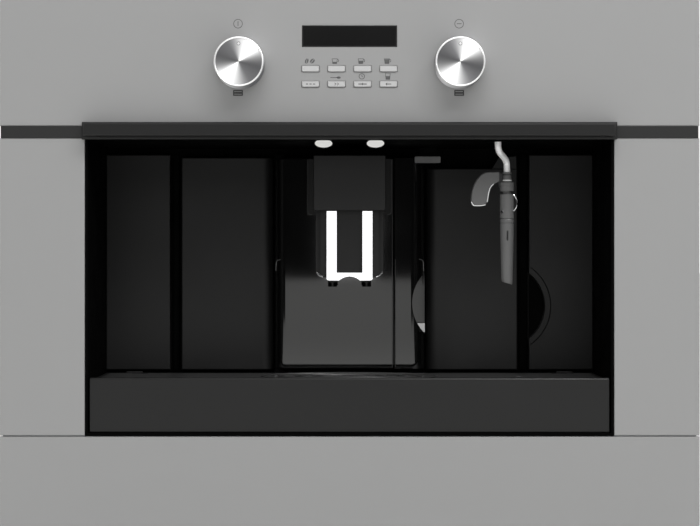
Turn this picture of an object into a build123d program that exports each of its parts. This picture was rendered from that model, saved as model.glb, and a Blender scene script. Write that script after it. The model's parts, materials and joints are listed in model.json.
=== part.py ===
"""Built in coffee machine: a compact appliance that slides out of its cabinet on rails.

All sizes are in millimetres. X runs to the right, Y to the back and Z up. The origin is at the
bottom centre of the whole machine. A depth is counted backwards from the plane of the front panels.
"""
from build123d import *
import math
import os

# ------------------------------------------------------------------ front and case
# A drop is counted downwards, from the front's top edge or, in the recess, from the opening's top edge.
FRONT_WIDTH = 595.0
FRONT_HEIGHT = 455.0
FASCIA = 4.0              # thickness of the front panels
FRAME_DEPTH = 16.0        # turned edge of the steel front frame behind them
FRAME_INSET = 2.0         # the frame stays this far inside the front panels' outline
SHEET = 1.5               # steel sheet of frame and case
SEAM = 1.0                # gap between two front panels
PANEL_SOFTNESS = 0.8      # radius of the front panels' edges
CONTROL_PANEL_HEIGHT = 110.9
BOTTOM_PANEL_TOP = 80.0
CASE_DEPTH = 385.0        # front plane to the outer face of the back panel
CASE_BOTTOM = 7.0
CASE_TOP_DROP = 11.0
FRONT_OVERLAP = 17.5      # how far the front covers the cabinet's side walls
FLANGE = 14.0             # folded edges of the base sheet

# ------------------------------------------------------------------ rails
RAIL_THICKNESS = 12.7
RAIL_HEIGHT = 45.7
RAIL_LEVEL = 104.0        # height of the rails' middle
RAIL_START = 22.0         # depth of their front ends
RAIL_END_GAP = 13.0       # between their rear ends and the case's back
RAIL_METAL = 1.3
RAIL_HOLE = 2.25          # radius of the screw holes in the cabinet members
RAIL_HOLE_PITCH = 128.0
RAIL_HOLES = 3
BALL_GAP = 3.6            # height between two members, where the balls run
RAIL_PLAY = 0.3
RAIL_NEST = 1.2           # gap between the webs of two nested members

# ------------------------------------------------------------------ recess
RECESS_WIDTH = 450.0
OPENING_DROP = 1.3        # the opening's top edge lies this far below the trim strip
LINER = 2.5
RECESS_DEPTH = 120.0      # front plane to the faces of the inner panels
INNER_PANEL = 12.0        # depth of the inner panels, which are hollow mouldings
INNER_SKIN = 2.5
PANEL_EDGE = 1.2          # softness of their front edges
INNER_BOTTOM = 130.0      # height of the inner panels' lower edges
OUTER_PANEL_DROP = 5.9
LEFT_INNER_WIDTH = 84.5
LEFT_INNER_DROP = 8.5
PANEL_GAP = 1.0           # between neighbouring panels
LEFT_STRIP_GAPS = (3.1, 3.0)
LEFT_STRIP_WIDTH = 4.2
RIGHT_STRIP_GAPS = (2.6, 1.8)
RIGHT_STRIP_WIDTH = 6.1
STRIP_DEPTH = 4.0
ROUND_EDGE = 11.0         # the inner panels' round edges beside the service door

# ------------------------------------------------------------------ trim and handle
STRIP_HEIGHT = 10.3
STRIP_END_GAP = 1.0
STRIP_PROUD = 0.8
STRIP_SOFTNESS = 0.5
HANDLE_OVERHANG = 2.3     # the handle is wider than the opening by this at each end
HANDLE_HEIGHT = 14.8
HANDLE_BASE = 3.0
HANDLE_PROUD = 20.0
HANDLE_LIP = 2.0          # height of base that shows above and below the bar
HANDLE_BAR_INSET = 3.3    # base that shows past each end of the bar
HANDLE_WALL = 3.0
HANDLE_SOFTNESS = 1.6
HANDLE_BEVEL = 1.2
HANDLE_END = 12.0         # solid metal at each end of the finger groove

# ------------------------------------------------------------------ controls
CONTROL_DROP = 58.6       # to the knobs' axes
KNOB_SPACING = 185.8
KNOB_RADIUS = 21.0
KNOB_PROUD = 25.0
KNOB_GAP = 1.0            # between a knob's skirt and the fascia
KNOB_RIM = 1.5
KNOB_DISH = 0.6
KNOB_EDGE = 0.7           # bevel around the face
KNOB_WALL = 2.0
KNOB_FACE_THICKNESS = 8.0
DOT_RADIUS = 1.1
DOT_RISE = 15.0
DOT_DEPTH = 0.3
SHAFT_RADIUS = 3.0
SHAFT_PLAY = 0.05
SHAFT_END = 3.0           # the shaft reaches this far behind the fascia
SHAFT_END_PLAY = 0.5
BUSH_RADIUS = 4.5
BUSH_PLAY = 0.2
SWITCH_SIZE = 19.0
DISPLAY_WIDTH = 81.0
DISPLAY_HEIGHT = 18.4
DISPLAY_DROP = 34.6
DISPLAY_SET_BACK = 0.3
SCREEN_MARGIN = 2.0       # the screen is smaller than its window by this on each side
BUTTON_COLUMNS = 4
BUTTON_PITCH = 22.1
BUTTON_WIDTH = 14.6
BUTTON_HEIGHT = 4.9
BUTTON_DROPS = {"upper": 62.4, "lower": 75.4}
BUTTON_PROUD = 1.6
BUTTON_TRAVEL = 1.2
BUTTON_PLAY = 0.3
BUTTON_FLANGE = 1.2       # hidden edge that keeps a button behind the fascia
BUTTON_BEVEL = 0.5
BUTTON_CORNER = 1.2
STEM_WIDTH, STEM_HEIGHT = 4.0, 3.0
TACT_WIDTH, TACT_HEIGHT, TACT_DEPTH = 6.0, 4.0, 3.5
TACT_GAP = 0.1            # between a fully pressed button and its switch
BOARD_DEPTH = 16.0        # depth of the control board's front face
BOARD_THICKNESS = 1.6
BOARD_BOTTOM_DROP, BOARD_TOP_DROP = 96.0, 14.0
BOARD_MARGIN = 10.0       # the board is wider than the window by this on each side
WINDOW_MARGIN = 17.4      # the frame's window reaches this far past the knobs' axes
WINDOW_BOTTOM_DROP, WINDOW_TOP_DROP = 84.0, 21.0
POST_RADIUS = 4.0

# ------------------------------------------------------------------ service door and spout
DOOR_LEFT = -68.0
DOOR_WIDTH = 107.6
DOOR_GAP = 0.8            # between the door and the centre trim
DOOR_LIFT = 1.5           # its lower edge stands this far above the inner panels' ones
DOOR_TOP_DROP = 9.5
DOOR_PROUD = 8.0          # its face stands this far in front of the inner panels
DOOR_THICKNESS = 10.0
DOOR_SKIN = 3.0
DOOR_ROUND = 9.6
DOOR_SOFTNESS = 1.5
DOOR_SPINE = 10.0         # solid part beside the hinge
HINGE_INSET = 4.0
HINGE_FROM_BACK = 2.5
HINGE_PIN_RADIUS = 1.9
HINGE_PLAY = 0.06
LUG_THICKNESS = 3.0
LUG_HALF_WIDTH = 4.0
LUG_GAP = 0.4
PIN_END_GAP = 0.5
TRIM_WIDTH = 28.4
TRIM_ROUND = 13.0
TRIM_SOFTNESS = 1.0
COVER_WIDTH = 63.2
COVER_FRONT = 47.0
COVER_TOP_DROP = 11.1
COVER_HEIGHT = 47.4
COVER_WALL = 1.4
COVER_SKIRT = 20.0        # the hood's hollow goes on this far below, cut off at its lower edge
COVER_PLATE = 2.0         # plate that carries the hood on the door
COVER_PLATE_LEFT = 38.6
COVER_PLATE_MARGIN = 0.6
COVER_PLATE_DROP = 3.0
SPOUT_PLAY = 0.6
SPOUT_DROP = 117.5
SPOUT_HEIGHT = 69.0
SPOUT_WALL = 2.5
SPOUT_FLOOR = 7.5
SPOUT_TRAVEL = 35.0
SPOUT_STEP = 4.0
SPOUT_CORNER = 7.0
CHEEK_CORNER = 5.0
FACE_WIDTH = 41.6
FACE_DROP = 120.7
FACE_HEIGHT = 61.2
FACE_LEG = 10.2
FACE_FOOT = 7.2
FACE_ARCH_RADIUS, FACE_ARCH_RISE = 13.3, 4.0
FACE_THICKNESS = 3.0
FACE_CORNER, FACE_SOFTNESS = 3.0, 0.8
NOZZLE_SPACING = 30.0
NOZZLE_RADIUS = 4.5
NOZZLE_TIP_RADIUS = 3.6
NOZZLE_LENGTH = 8.3
NOZZLE_BORE = 2.0
NOZZLE_SET_BACK = 2.0

# ------------------------------------------------------------------ lamps
LAMP_SPACING = 44.6
LAMP_RADIUS = 7.45
LAMP_TILT = 25.0
LAMP_DEPTH = 18.0
LAMP_RISE = 0.1           # above the opening's top edge
LENS_THICKNESS = 2.5
LAMP_POD_WALL = 1.8
LAMP_POD_HEIGHT = 7.0

# ------------------------------------------------------------------ water tank
TANK_WIDTH = 83.5
TANK_TOP_DROP = 18.5
TANK_WALL = 2.5
TANK_LENGTH = 165.0
TANK_SIDE_PLAY = 1.0
TANK_INSET = 2.5          # the tank is narrower than its front by this on each side
TANK_LIFT = 3.0           # the tank's floor stands this far above its front's lower edge
TANK_RIM_DROP = 6.0
TANK_BAY_DROP = 1.0
TANK_BAY_BRIDGE = 40.0    # roof over the front of the tank's bay
PLUG_MARGIN = 8.0         # block that joins the tank to its front, inside the front's edges
GRIP_LEVEL = 188.4
GRIP_RADIUS = 42.8
GRIP_BITE = 19.8          # how far the right grip reaches into the outer panel
SMALL_GRIP_LEVEL = 191.1
SMALL_GRIP_RADIUS = 38.8
SMALL_GRIP_BITE = 11.9
GRIP_RIM = 5.2

# ------------------------------------------------------------------ drip tray
TRAY_SIDE_GAP = 4.0
TRAY_START = 2.0
TRAY_BACK_GAP = 2.0
TRAY_WALL = 2.5
TRAY_REAR_RIM = 7.5       # keeps the lift-out cover clear of the service door above
TRAY_FLOOR = 3.0
TRAY_GAP = 2.4            # between the tray's cover and the inner panels above it
LIP_RISE = 2.2
LIP_SOFTNESS = 1.5
TRAY_SHOULDER = 2.0       # the front wall stands this far in front of the tray's body
TRAY_FRONT_WALL = 4.5
LEDGE = 3.0
GRILLE_THICKNESS = 3.0
GRILLE_PLAY = 0.5
GRILLE_FIELD = 146.0      # width of the slotted part of the cover
SLOT_LENGTH, SLOT_WIDTH = 15.0, 5.5
SLOT_PITCH_X, SLOT_PITCH_Y = 20.0, 10.0
NOTCH_X, NOTCH_WIDTH, NOTCH_DEPTH = 190.0, 14.0, 6.0
TONGUE_WIDTH = 136.0
TONGUE_LENGTH = 134.0
TONGUE_WALL_HEIGHT = 12.0
CHANNEL_HEIGHT = 36.0
FLOAT_X, FLOAT_DEPTH = 150.0, 60.0
FLOAT_RADIUS = 4.0
FLOAT_PLAY = 0.6
FLOAT_DISC = 10.0
FLOAT_DISC_HEIGHT = 9.0
FLOAT_SUNK = 1.0
FLOAT_SOFTNESS = 1.2
GROUNDS_WIDTH = 112.0
GROUNDS_LENGTH = 108.0
GROUNDS_GAP = 3.0         # below the inner panels' lower edges
GROUNDS_WALL = 2.0
GROUNDS_BACK_GAP = 1.0

# ------------------------------------------------------------------ steam wand
WAND_X, WAND_DEPTH = 127.7, 20.0
WAND_PIVOT_RISE = 5.5     # above the opening's top edge
PIPE_RADIUS = 2.8
PIPE_BORE, PIPE_BORE_LENGTH = 1.6, 20.0
WAND_OFFSET_X, WAND_OFFSET_DEPTH = 9.0, 15.0
WAND_BEND_TOP_DROP, WAND_BEND_BOTTOM_DROP = 10.5, 22.5
WAND_BEND_RADIUS = 10.0
PIPE_TIP_DROP = 116.5
COLLAR_RADIUS, COLLAR_TOP_DROP, COLLAR_BOTTOM_DROP = 3.8, 26.6, 35.1
GRIP_BODY_RADIUS = 6.2
GRIP_BODY_HEIGHT = 30.4
GRIP_BODY_SOFTNESS = 0.8
GRIP_PLAY = 0.1
LEVER_REACH = 31.4        # from the pipe's axis to the lever's far side
LEVER_HEIGHT = 29.2
LEVER_TOP_RISE = 9.0      # the lever's top stands this far above the grip's body
LEVER_ARM, LEVER_LEG = 8.0, 13.5
LEVER_END_GAP = 7.0       # from the pipe's axis to the lever's near end
LEVER_OUTER_BEND, LEVER_INNER_BEND, LEVER_TIP_BEND = 20.0, 8.0, 4.0
LEVER_WIDTH = 11.0
LEVER_SOFTNESS = 1.5
LEVER_WEB = 3.0           # web that joins the lever to the body
SLEEVE_TOP_RADIUS, SLEEVE_TIP_RADIUS = 6.0, 5.15
SLEEVE_GAP = 1.0          # between the grip's body and the sleeve
SLEEVE_LENGTH = 57.4
SLEEVE_PLAY = 0.35
TURRET_RADIUS = 12.0
TURRET_PLAY = 0.3
TURRET_BOTTOM_DROP = 1.0
TURRET_HEIGHT = 12.5
TURRET_FLANGE = 14.0
TURRET_FLANGE_THICKNESS = 2.0
TURRET_SLOT_PLAY = 0.4
TURRET_SLOT_BACK = 3.0
TURRET_SLOT_FRONT = 8.0
PIVOT_PIN_RADIUS = 2.0
PIVOT_PIN_PLAY = 0.06
PIVOT_PIN_REACH, PIVOT_HOLE_REACH = 7.5, 8.0

# ------------------------------------------------------------------ inside
HOPPER_LEFT, HOPPER_RIGHT = -165.0, -45.0
HOPPER_FRONT, HOPPER_BACK = 135.0, 285.0
HOPPER_WALL = 2.5
HOPPER_STRAIGHT = 40.0    # height of the hopper's upright part
HOPPER_FUNNEL = 50.0
LID_THICKNESS = 3.0
LID_OVERLAP = 6.0
LID_CORNER = 5.0
LID_HINGE_RADIUS = 3.0
LID_HINGE_RISE = 3.3
LID_PIN_RADIUS = 1.5
LID_EAR = 4.0
LID_PLAY = 0.5
GRINDER_SHIFT_X, GRINDER_SHIFT_DEPTH = -5.0, -20.0
GRINDER_RADIUS = 34.0
GRINDER_NECK = 16.0       # half width of the hopper's throat
GRINDER_COLLAR = 19.0
GRINDER_COLLAR_HEIGHT = 12.0
GRINDER_BORE_DEPTH = 30.0
GRINDER_BOTTOM = 200.0
GRINDER_FOOT_RADIUS, GRINDER_FOOT_CIRCLE = 4.0, 26.0
GRINDER_FEET = 3
CHUTE_HALF_WIDTH, CHUTE_HEIGHT, CHUTE_DROP = 10.0, 18.0, 24.0
BREW_X = -10.0
BREW_SETBACK = 45.5       # from the liner's back wall to the brew chamber's axis
BREW_RADIUS = 28.0
BREW_BORE = 23.0
BREW_CAP_DROP = 4.5
BREW_HEIGHT = 138.0
BREW_HALF_WIDTH = 52.0
BREW_SIDE = 4.0
BREW_PLATE = 8.0
BREW_BACK = 14.0          # the frame reaches this far behind the drive screw's axis
CHAMBER_DROP = 28.0       # from the frame's cap to the chamber's top
CHAMBER_HEIGHT = 45.0
PISTON_TRAVEL = 35.0
PISTON_PLAY = 0.3
PISTON_HEIGHT = 14.0
PISTON_OUTSIDE = 6.0      # part of the piston that shows below the chamber at rest
PISTON_ROD = 6.0
PISTON_NUT_LIFT = 4.0     # above the frame's base
PISTON_NUT_HEIGHT = 12.0
PISTON_NUT_HALF = 8.0
PISTON_NUT_BACK = 9.0
SCREW_SETBACK = 46.0      # from the chamber's axis to the drive screw's
SCREW_RADIUS = 5.0
SCREW_END_RADIUS = 3.5
SCREW_END_PLAY = 0.3
SCREW_CAP_REACH = 1.0
SCREW_WHEEL_RADIUS, SCREW_WHEEL_HEIGHT, SCREW_WHEEL_GAP = 13.0, 8.0, 6.0
BOILER_SIDE_GAP, BOILER_WIDTH = 17.8, 76.0
BOILER_FRONT, BOILER_BACK = 160.0, 280.0
BOILER_BOTTOM, BOILER_TOP = 40.0, 112.0
BOILER_CORNER = 12.0
BOILER_FOOT_INSET, BOILER_FOOT_RADIUS = 14.0, 5.0
NIPPLE_RADIUS, NIPPLE_HEIGHT, NIPPLE_INSET = 6.0, 14.0, 30.0
PUMP_SIDE_GAP, PUMP_DEPTH, PUMP_LEVEL = 25.8, 240.0, 52.0
PUMP_RADIUS, PUMP_LENGTH = 24.0, 100.0
PUMP_NECK_RADIUS, PUMP_NECK_LENGTH = 13.2, 30.0
PUMP_PORT_RADIUS, PUMP_PORT_LENGTH = 5.0, 14.0
PUMP_SADDLE, PUMP_SADDLE_INSET = 6.0, 8.0
HOSE_RADIUS = 3.0
HOSE_BEND, STEAM_BEND = 7.0, 10.0
HOSE_WALL_GAP = 30.0
HOSE_OUTLET_RISE = 14.0
HOSE_RUN = 34.0
HOSE_SIDE_RUN, HOSE_PUMP_RUN = 8.0, 60.0
HOSE_HIGH_RISE = 40.0
HOSE_END_GAP = 0.5
INLET_SIDE = 77.3             # the inlet's middle, in from the case's right side
INLET_LEVEL = 62.0
INLET_WIDTH, INLET_HEIGHT = 27.0, 20.0
INLET_WALL = 1.5
INLET_FLOOR = 3.0
INLET_EARS, INLET_RIM = 8.0, 2.0
BLADE_SPACING, BLADE_RISE = 7.0, 2.0
BLADE_THICKNESS, BLADE_HEIGHT, BLADE_SET_BACK = 2.0, 4.0, 3.0
SOCKET_DEPTH = 16.0
SOCKET_FLANGE = 1.5
SWITCH_SPACING = 50.0
SWITCH_WIDTH, SWITCH_HEIGHT = 15.0, 21.0
SWITCH_WALL = 1.5
SWITCH_RIM = 2.0
SWITCH_FLANGE = 0.75
SWITCH_DEPTH = 9.0
SWITCH_PIVOT = 1.2        # the rocker's axis lies this far inside the back panel's face
SWITCH_PLAY = 0.4
SWITCH_ROCK = 9.0         # degrees to each side of the middle
SWITCH_PIN_RADIUS = 1.0
ROCKER_DEPTH, ROCKER_TAPER = 5.0, 1.0
SCREW_HEAD_RADIUS, SCREW_HEAD_HEIGHT = 3.4, 2.0
SCREW_RECESS_RADIUS, SCREW_RECESS_DEPTH = 1.2, 1.2
VENT_LENGTH, VENT_WIDTH, VENT_PITCH = 60.0, 4.0, 20.0
VENT_ROWS = 8

# ------------------------------------------------------------------ what follows from them
REACH = 3.0                                    # how far a cutting tool runs past what it cuts
HALF_FRONT = FRONT_WIDTH / 2
NICHE_WIDTH = FRONT_WIDTH - FRONT_OVERLAP * 2   # inner width of the cabinet
CASE_HALF = NICHE_WIDTH / 2 - RAIL_THICKNESS
CASE_INNER = CASE_HALF - SHEET
INLET_X = CASE_HALF - INLET_SIDE
SWITCH_X = INLET_X - SWITCH_SPACING
CASE_TOP = FRONT_HEIGHT - CASE_TOP_DROP
CASE_FLOOR = CASE_BOTTOM + SHEET
RAIL_LENGTH = CASE_DEPTH - RAIL_START - RAIL_END_GAP
FRAME_FACE = FASCIA + SHEET
OVERALL_DEPTH = KNOB_PROUD + CASE_DEPTH + SCREW_HEAD_HEIGHT
FRONT_Y = KNOB_PROUD - OVERALL_DEPTH / 2

STRIP_TOP = FRONT_HEIGHT - CONTROL_PANEL_HEIGHT
STRIP_BOTTOM = STRIP_TOP - STRIP_HEIGHT
STRIP_LENGTH = FRONT_WIDTH - STRIP_END_GAP * 2
CONTROL_LEVEL = FRONT_HEIGHT - CONTROL_DROP
DISPLAY_LEVEL = FRONT_HEIGHT - DISPLAY_DROP
WINDOW_WIDTH = KNOB_SPACING + WINDOW_MARGIN * 2
WINDOW_BOTTOM, WINDOW_TOP = FRONT_HEIGHT - WINDOW_BOTTOM_DROP, FRONT_HEIGHT - WINDOW_TOP_DROP
BOARD_WIDTH = WINDOW_WIDTH + BOARD_MARGIN * 2
BOARD_BOTTOM, BOARD_TOP = FRONT_HEIGHT - BOARD_BOTTOM_DROP, FRONT_HEIGHT - BOARD_TOP_DROP

RECESS_HALF = RECESS_WIDTH / 2
RECESS_INNER = RECESS_HALF - LINER
RECESS_BOTTOM = BOTTOM_PANEL_TOP + SEAM / 2
RECESS_FLOOR = RECESS_BOTTOM + LINER
RECESS_TOP = STRIP_BOTTOM - OPENING_DROP
LINER_TOP = RECESS_TOP + LINER
BACK_WALL = RECESS_DEPTH + INNER_PANEL         # depth of the liner's back wall
BEHIND = BACK_WALL + LINER
HANDLE_LENGTH = RECESS_WIDTH + HANDLE_OVERHANG * 2
HANDLE_BOTTOM = RECESS_TOP

DOOR_RIGHT = DOOR_LEFT + DOOR_WIDTH
DOOR_BOTTOM, DOOR_TOP = INNER_BOTTOM + DOOR_LIFT, RECESS_TOP - DOOR_TOP_DROP
DOOR_FACE = RECESS_DEPTH - DOOR_PROUD
DOOR_BACK = DOOR_FACE + DOOR_THICKNESS
HINGE_X, HINGE_DEPTH = DOOR_LEFT + HINGE_INSET, DOOR_BACK - HINGE_FROM_BACK
LEFT_INNER_RIGHT = DOOR_LEFT - PANEL_GAP
LEFT_INNER_LEFT = LEFT_INNER_RIGHT - LEFT_INNER_WIDTH
LEFT_INNER_TOP = RECESS_TOP - LEFT_INNER_DROP
LEFT_STRIP_RIGHT = LEFT_INNER_LEFT - LEFT_STRIP_GAPS[0]
LEFT_STRIP_LEFT = LEFT_STRIP_RIGHT - LEFT_STRIP_WIDTH
LEFT_OUTER_EDGE = LEFT_STRIP_LEFT - LEFT_STRIP_GAPS[1]
OUTER_PANEL_TOP = RECESS_TOP - OUTER_PANEL_DROP
TRIM_LEFT = DOOR_RIGHT + DOOR_GAP
TRIM_RIGHT = TRIM_LEFT + TRIM_WIDTH
TANK_LEFT = TRIM_RIGHT + PANEL_GAP
TANK_RIGHT = TANK_LEFT + TANK_WIDTH
TANK_TOP = RECESS_TOP - TANK_TOP_DROP
TANK_BACK = BACK_WALL + TANK_LENGTH
RIGHT_STRIP_LEFT = TANK_RIGHT + RIGHT_STRIP_GAPS[0]
RIGHT_STRIP_RIGHT = RIGHT_STRIP_LEFT + RIGHT_STRIP_WIDTH
RIGHT_OUTER_EDGE = RIGHT_STRIP_RIGHT + RIGHT_STRIP_GAPS[1]
GRIP_X = RIGHT_OUTER_EDGE + GRIP_BITE - GRIP_RADIUS
SMALL_GRIP_X = TRIM_RIGHT - SMALL_GRIP_BITE + SMALL_GRIP_RADIUS

COVER_TOP = RECESS_TOP - COVER_TOP_DROP
COVER_BOTTOM = COVER_TOP - COVER_HEIGHT
# The chrome face slides up behind the hood's front wall.
CHEEK_FRONT = COVER_FRONT + COVER_WALL + SPOUT_PLAY + FACE_THICKNESS
SPOUT_BOTTOM = RECESS_TOP - SPOUT_DROP
SPOUT_TOP = SPOUT_BOTTOM + SPOUT_HEIGHT
FACE_BOTTOM = RECESS_TOP - FACE_DROP
FACE_TOP = FACE_BOTTOM + FACE_HEIGHT
NOZZLE_TIP = SPOUT_BOTTOM - NOZZLE_LENGTH
LAMP_LEVEL = RECESS_TOP + LAMP_RISE

TRAY_WIDTH = RECESS_WIDTH - TRAY_SIDE_GAP * 2
TRAY_END = RECESS_DEPTH - TRAY_BACK_GAP
TRAY_TOP = INNER_BOTTOM - TRAY_GAP
TRAY_LIP = TRAY_TOP + LIP_RISE
BASKET_BOTTOM = RECESS_FLOOR + TRAY_FLOOR
TONGUE_BACK = TRAY_END + TONGUE_LENGTH
GROUNDS_TOP = INNER_BOTTOM - GROUNDS_GAP

WAND_LOW_X, WAND_LOW_DEPTH = WAND_X + WAND_OFFSET_X, WAND_DEPTH + WAND_OFFSET_DEPTH
WAND_PIVOT_LEVEL = RECESS_TOP + WAND_PIVOT_RISE
WAND_BEND_TOP, WAND_BEND_BOTTOM = RECESS_TOP - WAND_BEND_TOP_DROP, RECESS_TOP - WAND_BEND_BOTTOM_DROP
PIPE_TIP = RECESS_TOP - PIPE_TIP_DROP
COLLAR_TOP, COLLAR_BOTTOM = RECESS_TOP - COLLAR_TOP_DROP, RECESS_TOP - COLLAR_BOTTOM_DROP
GRIP_BODY_BOTTOM = COLLAR_BOTTOM - GRIP_BODY_HEIGHT
LEVER_TOP = COLLAR_BOTTOM + LEVER_TOP_RISE
SLEEVE_TOP = GRIP_BODY_BOTTOM - SLEEVE_GAP
SLEEVE_TIP = SLEEVE_TOP - SLEEVE_LENGTH
TURRET_BOTTOM = RECESS_TOP - TURRET_BOTTOM_DROP
TURRET_TOP = TURRET_BOTTOM + TURRET_HEIGHT

HOPPER_TOP = CASE_TOP - SHEET
HOPPER_NECK = HOPPER_TOP - HOPPER_STRAIGHT - HOPPER_FUNNEL
GRINDER_X = (HOPPER_LEFT + HOPPER_RIGHT) / 2 + GRINDER_SHIFT_X
GRINDER_DEPTH = (HOPPER_FRONT + HOPPER_BACK) / 2 + GRINDER_SHIFT_DEPTH
LID_HINGE_DEPTH = HOPPER_BACK + LID_OVERLAP
LID_HINGE_LEVEL = CASE_TOP + LID_HINGE_RISE
BREW_DEPTH = BEHIND + BREW_SETBACK
BREW_CAP = RECESS_TOP - BREW_CAP_DROP
BREW_BASE = BREW_CAP - BREW_HEIGHT
CHAMBER_TOP = BREW_CAP - CHAMBER_DROP
CHAMBER_BOTTOM = CHAMBER_TOP - CHAMBER_HEIGHT
SCREW_DEPTH = BREW_DEPTH + SCREW_SETBACK
BOILER_RIGHT = CASE_INNER - BOILER_SIDE_GAP
BOILER_LEFT = BOILER_RIGHT - BOILER_WIDTH
BOILER_X = (BOILER_LEFT + BOILER_RIGHT) / 2
NIPPLE_TOP = BOILER_TOP + NIPPLE_HEIGHT
PUMP_LEFT = PUMP_SIDE_GAP - CASE_INNER
PUMP_RIGHT = PUMP_LEFT + PUMP_LENGTH


# ------------------------------------------------------------------ helpers
def y_at(depth):
    """The Y coordinate of a depth behind the front plane."""
    return FRONT_Y + depth


def block(x, depth, z):
    """A box between pairs of limits in X, depth and Z."""
    centre = ((x[0] + x[1]) / 2, y_at((depth[0] + depth[1]) / 2), (z[0] + z[1]) / 2)
    return Pos(*centre) * Box(x[1] - x[0], depth[1] - depth[0], z[1] - z[0])


def around(half):
    """A pair of limits from -half to half."""
    return (-half, half)


def post(x, depth, radius, z):
    """An upright cylinder between two heights."""
    return Pos(x, y_at(depth), (z[0] + z[1]) / 2) * Cylinder(radius, z[1] - z[0])


def rod(x, z, radius, depth):
    """A cylinder that lies from front to back."""
    middle = y_at((depth[0] + depth[1]) / 2)
    return Pos(x, middle, z) * Rot(90, 0, 0) * Cylinder(radius, depth[1] - depth[0])


def bar(depth, z, radius, x):
    """A cylinder that lies from left to right."""
    return Pos((x[0] + x[1]) / 2, y_at(depth), z) * Rot(0, 90, 0) * Cylinder(radius, x[1] - x[0])


def edges_at(shape, along, x=None, depth=None, z=None, near=0.01):
    """The straight edges along an axis that lie at the given coordinates."""
    found = shape.edges().filter_by(along)
    if x is not None:
        found = found.filter_by(lambda edge: abs(edge.center().X - x) < near)
    if depth is not None:
        found = found.filter_by(lambda edge: abs(edge.center().Y - y_at(depth)) < near)
    if z is not None:
        found = found.filter_by(lambda edge: abs(edge.center().Z - z) < near)
    return found


def front_edges(shape, depth):
    """Every edge that lies in the plane of a depth."""
    flat = shape.edges().filter_by_position(Axis.Y, y_at(depth) - 0.01, y_at(depth) + 0.01)
    return flat


def hollow_block(x, depth, z, wall, open_side):
    """A thin-walled box with one side open: back, front or top."""
    inner_depth = [depth[0] + wall, depth[1] - wall]
    inner_z = [z[0] + wall, z[1] - wall]
    if open_side == "back":
        inner_depth[1] = depth[1] + REACH
    elif open_side == "front":
        inner_depth[0] = depth[0] - REACH
    elif open_side == "top":
        inner_z[1] = z[1] + REACH
    return block(x, depth, z) - block((x[0] + wall, x[1] - wall), inner_depth, inner_z)


def tube(points, radii, radius):
    """A round solid along straight runs that are joined by arcs."""
    path = FilletPolyline(*points, radius=radii)
    start = Plane(origin=path @ 0, z_dir=path % 0)
    return sweep(start * Circle(radius), path=path)


def mirrored(shape):
    """The same shape on the other side of the machine."""
    return mirror(shape, about=Plane.YZ)


# ------------------------------------------------------------------ rails
def rail_channel(outer, reach, half_height, metal):
    """A right-hand rail member: a web at X = outer with edges that turn to X = reach."""
    low, high = sorted((outer, reach))
    depth = (RAIL_START, RAIL_START + RAIL_LENGTH)
    body = block((low, high), depth, (RAIL_LEVEL - half_height, RAIL_LEVEL + half_height))
    if outer > reach:
        inside = (low - REACH, high - metal)
    else:
        inside = (low + metal, high + REACH)
    clear = half_height - metal
    cut = block(inside, (depth[0] - REACH, depth[1] + REACH), (RAIL_LEVEL - clear, RAIL_LEVEL + clear))
    return body - cut


def rail_hole_depths():
    """The depths of the screw holes in a cabinet member."""
    middle = RAIL_START + RAIL_LENGTH / 2
    first = middle - RAIL_HOLE_PITCH * (RAIL_HOLES - 1) / 2
    return [first + RAIL_HOLE_PITCH * index for index in range(RAIL_HOLES)]


def cabinet_rails():
    outer = NICHE_WIDTH / 2
    member = rail_channel(outer, CASE_HALF + RAIL_METAL * 3, RAIL_HEIGHT / 2, RAIL_METAL)
    for depth in rail_hole_depths():
        member -= bar(depth, RAIL_LEVEL, RAIL_HOLE, (outer - RAIL_METAL - REACH, outer + REACH))
    return [member, mirrored(member)]


def middle_rails():
    outer = NICHE_WIDTH / 2 - RAIL_METAL - RAIL_NEST
    half = RAIL_HEIGHT / 2 - RAIL_METAL - BALL_GAP
    reach = CASE_HALF + RAIL_METAL * 2
    member = rail_channel(outer, reach, half, RAIL_METAL)
    width = (CASE_HALF + RAIL_METAL * 3 + RAIL_PLAY, outer - RAIL_METAL)
    depth = (RAIL_START + RAIL_PLAY, RAIL_START + RAIL_LENGTH - RAIL_PLAY)
    for side in (-1, 1):
        strips = (
            (half, half + BALL_GAP - RAIL_PLAY),
            (half - RAIL_METAL - BALL_GAP + RAIL_PLAY, half - RAIL_METAL),
        )
        for low, high in strips:
            limits = sorted((RAIL_LEVEL + side * low, RAIL_LEVEL + side * high))
            member += block(width, depth, limits)
    return [member, mirrored(member)]


def machine_rails():
    half = RAIL_HEIGHT / 2 - 2 * RAIL_METAL - 2 * BALL_GAP
    reach = NICHE_WIDTH / 2 - RAIL_METAL * 2 - RAIL_NEST - RAIL_PLAY
    member = rail_channel(CASE_HALF, reach, half, RAIL_METAL)
    return [member, mirrored(member)]


# ------------------------------------------------------------------ case
def chassis_base():
    depth = (FRAME_FACE, CASE_DEPTH - SHEET)
    sheet = block(around(CASE_HALF), depth, (CASE_BOTTOM, CASE_FLOOR))
    edge_z = (CASE_FLOOR, CASE_FLOOR + FLANGE)
    for side in (-1, 1):
        limits = sorted((side * CASE_INNER, side * (CASE_INNER - SHEET)))
        sheet += block(limits, depth, edge_z)
    return [sheet]


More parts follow.
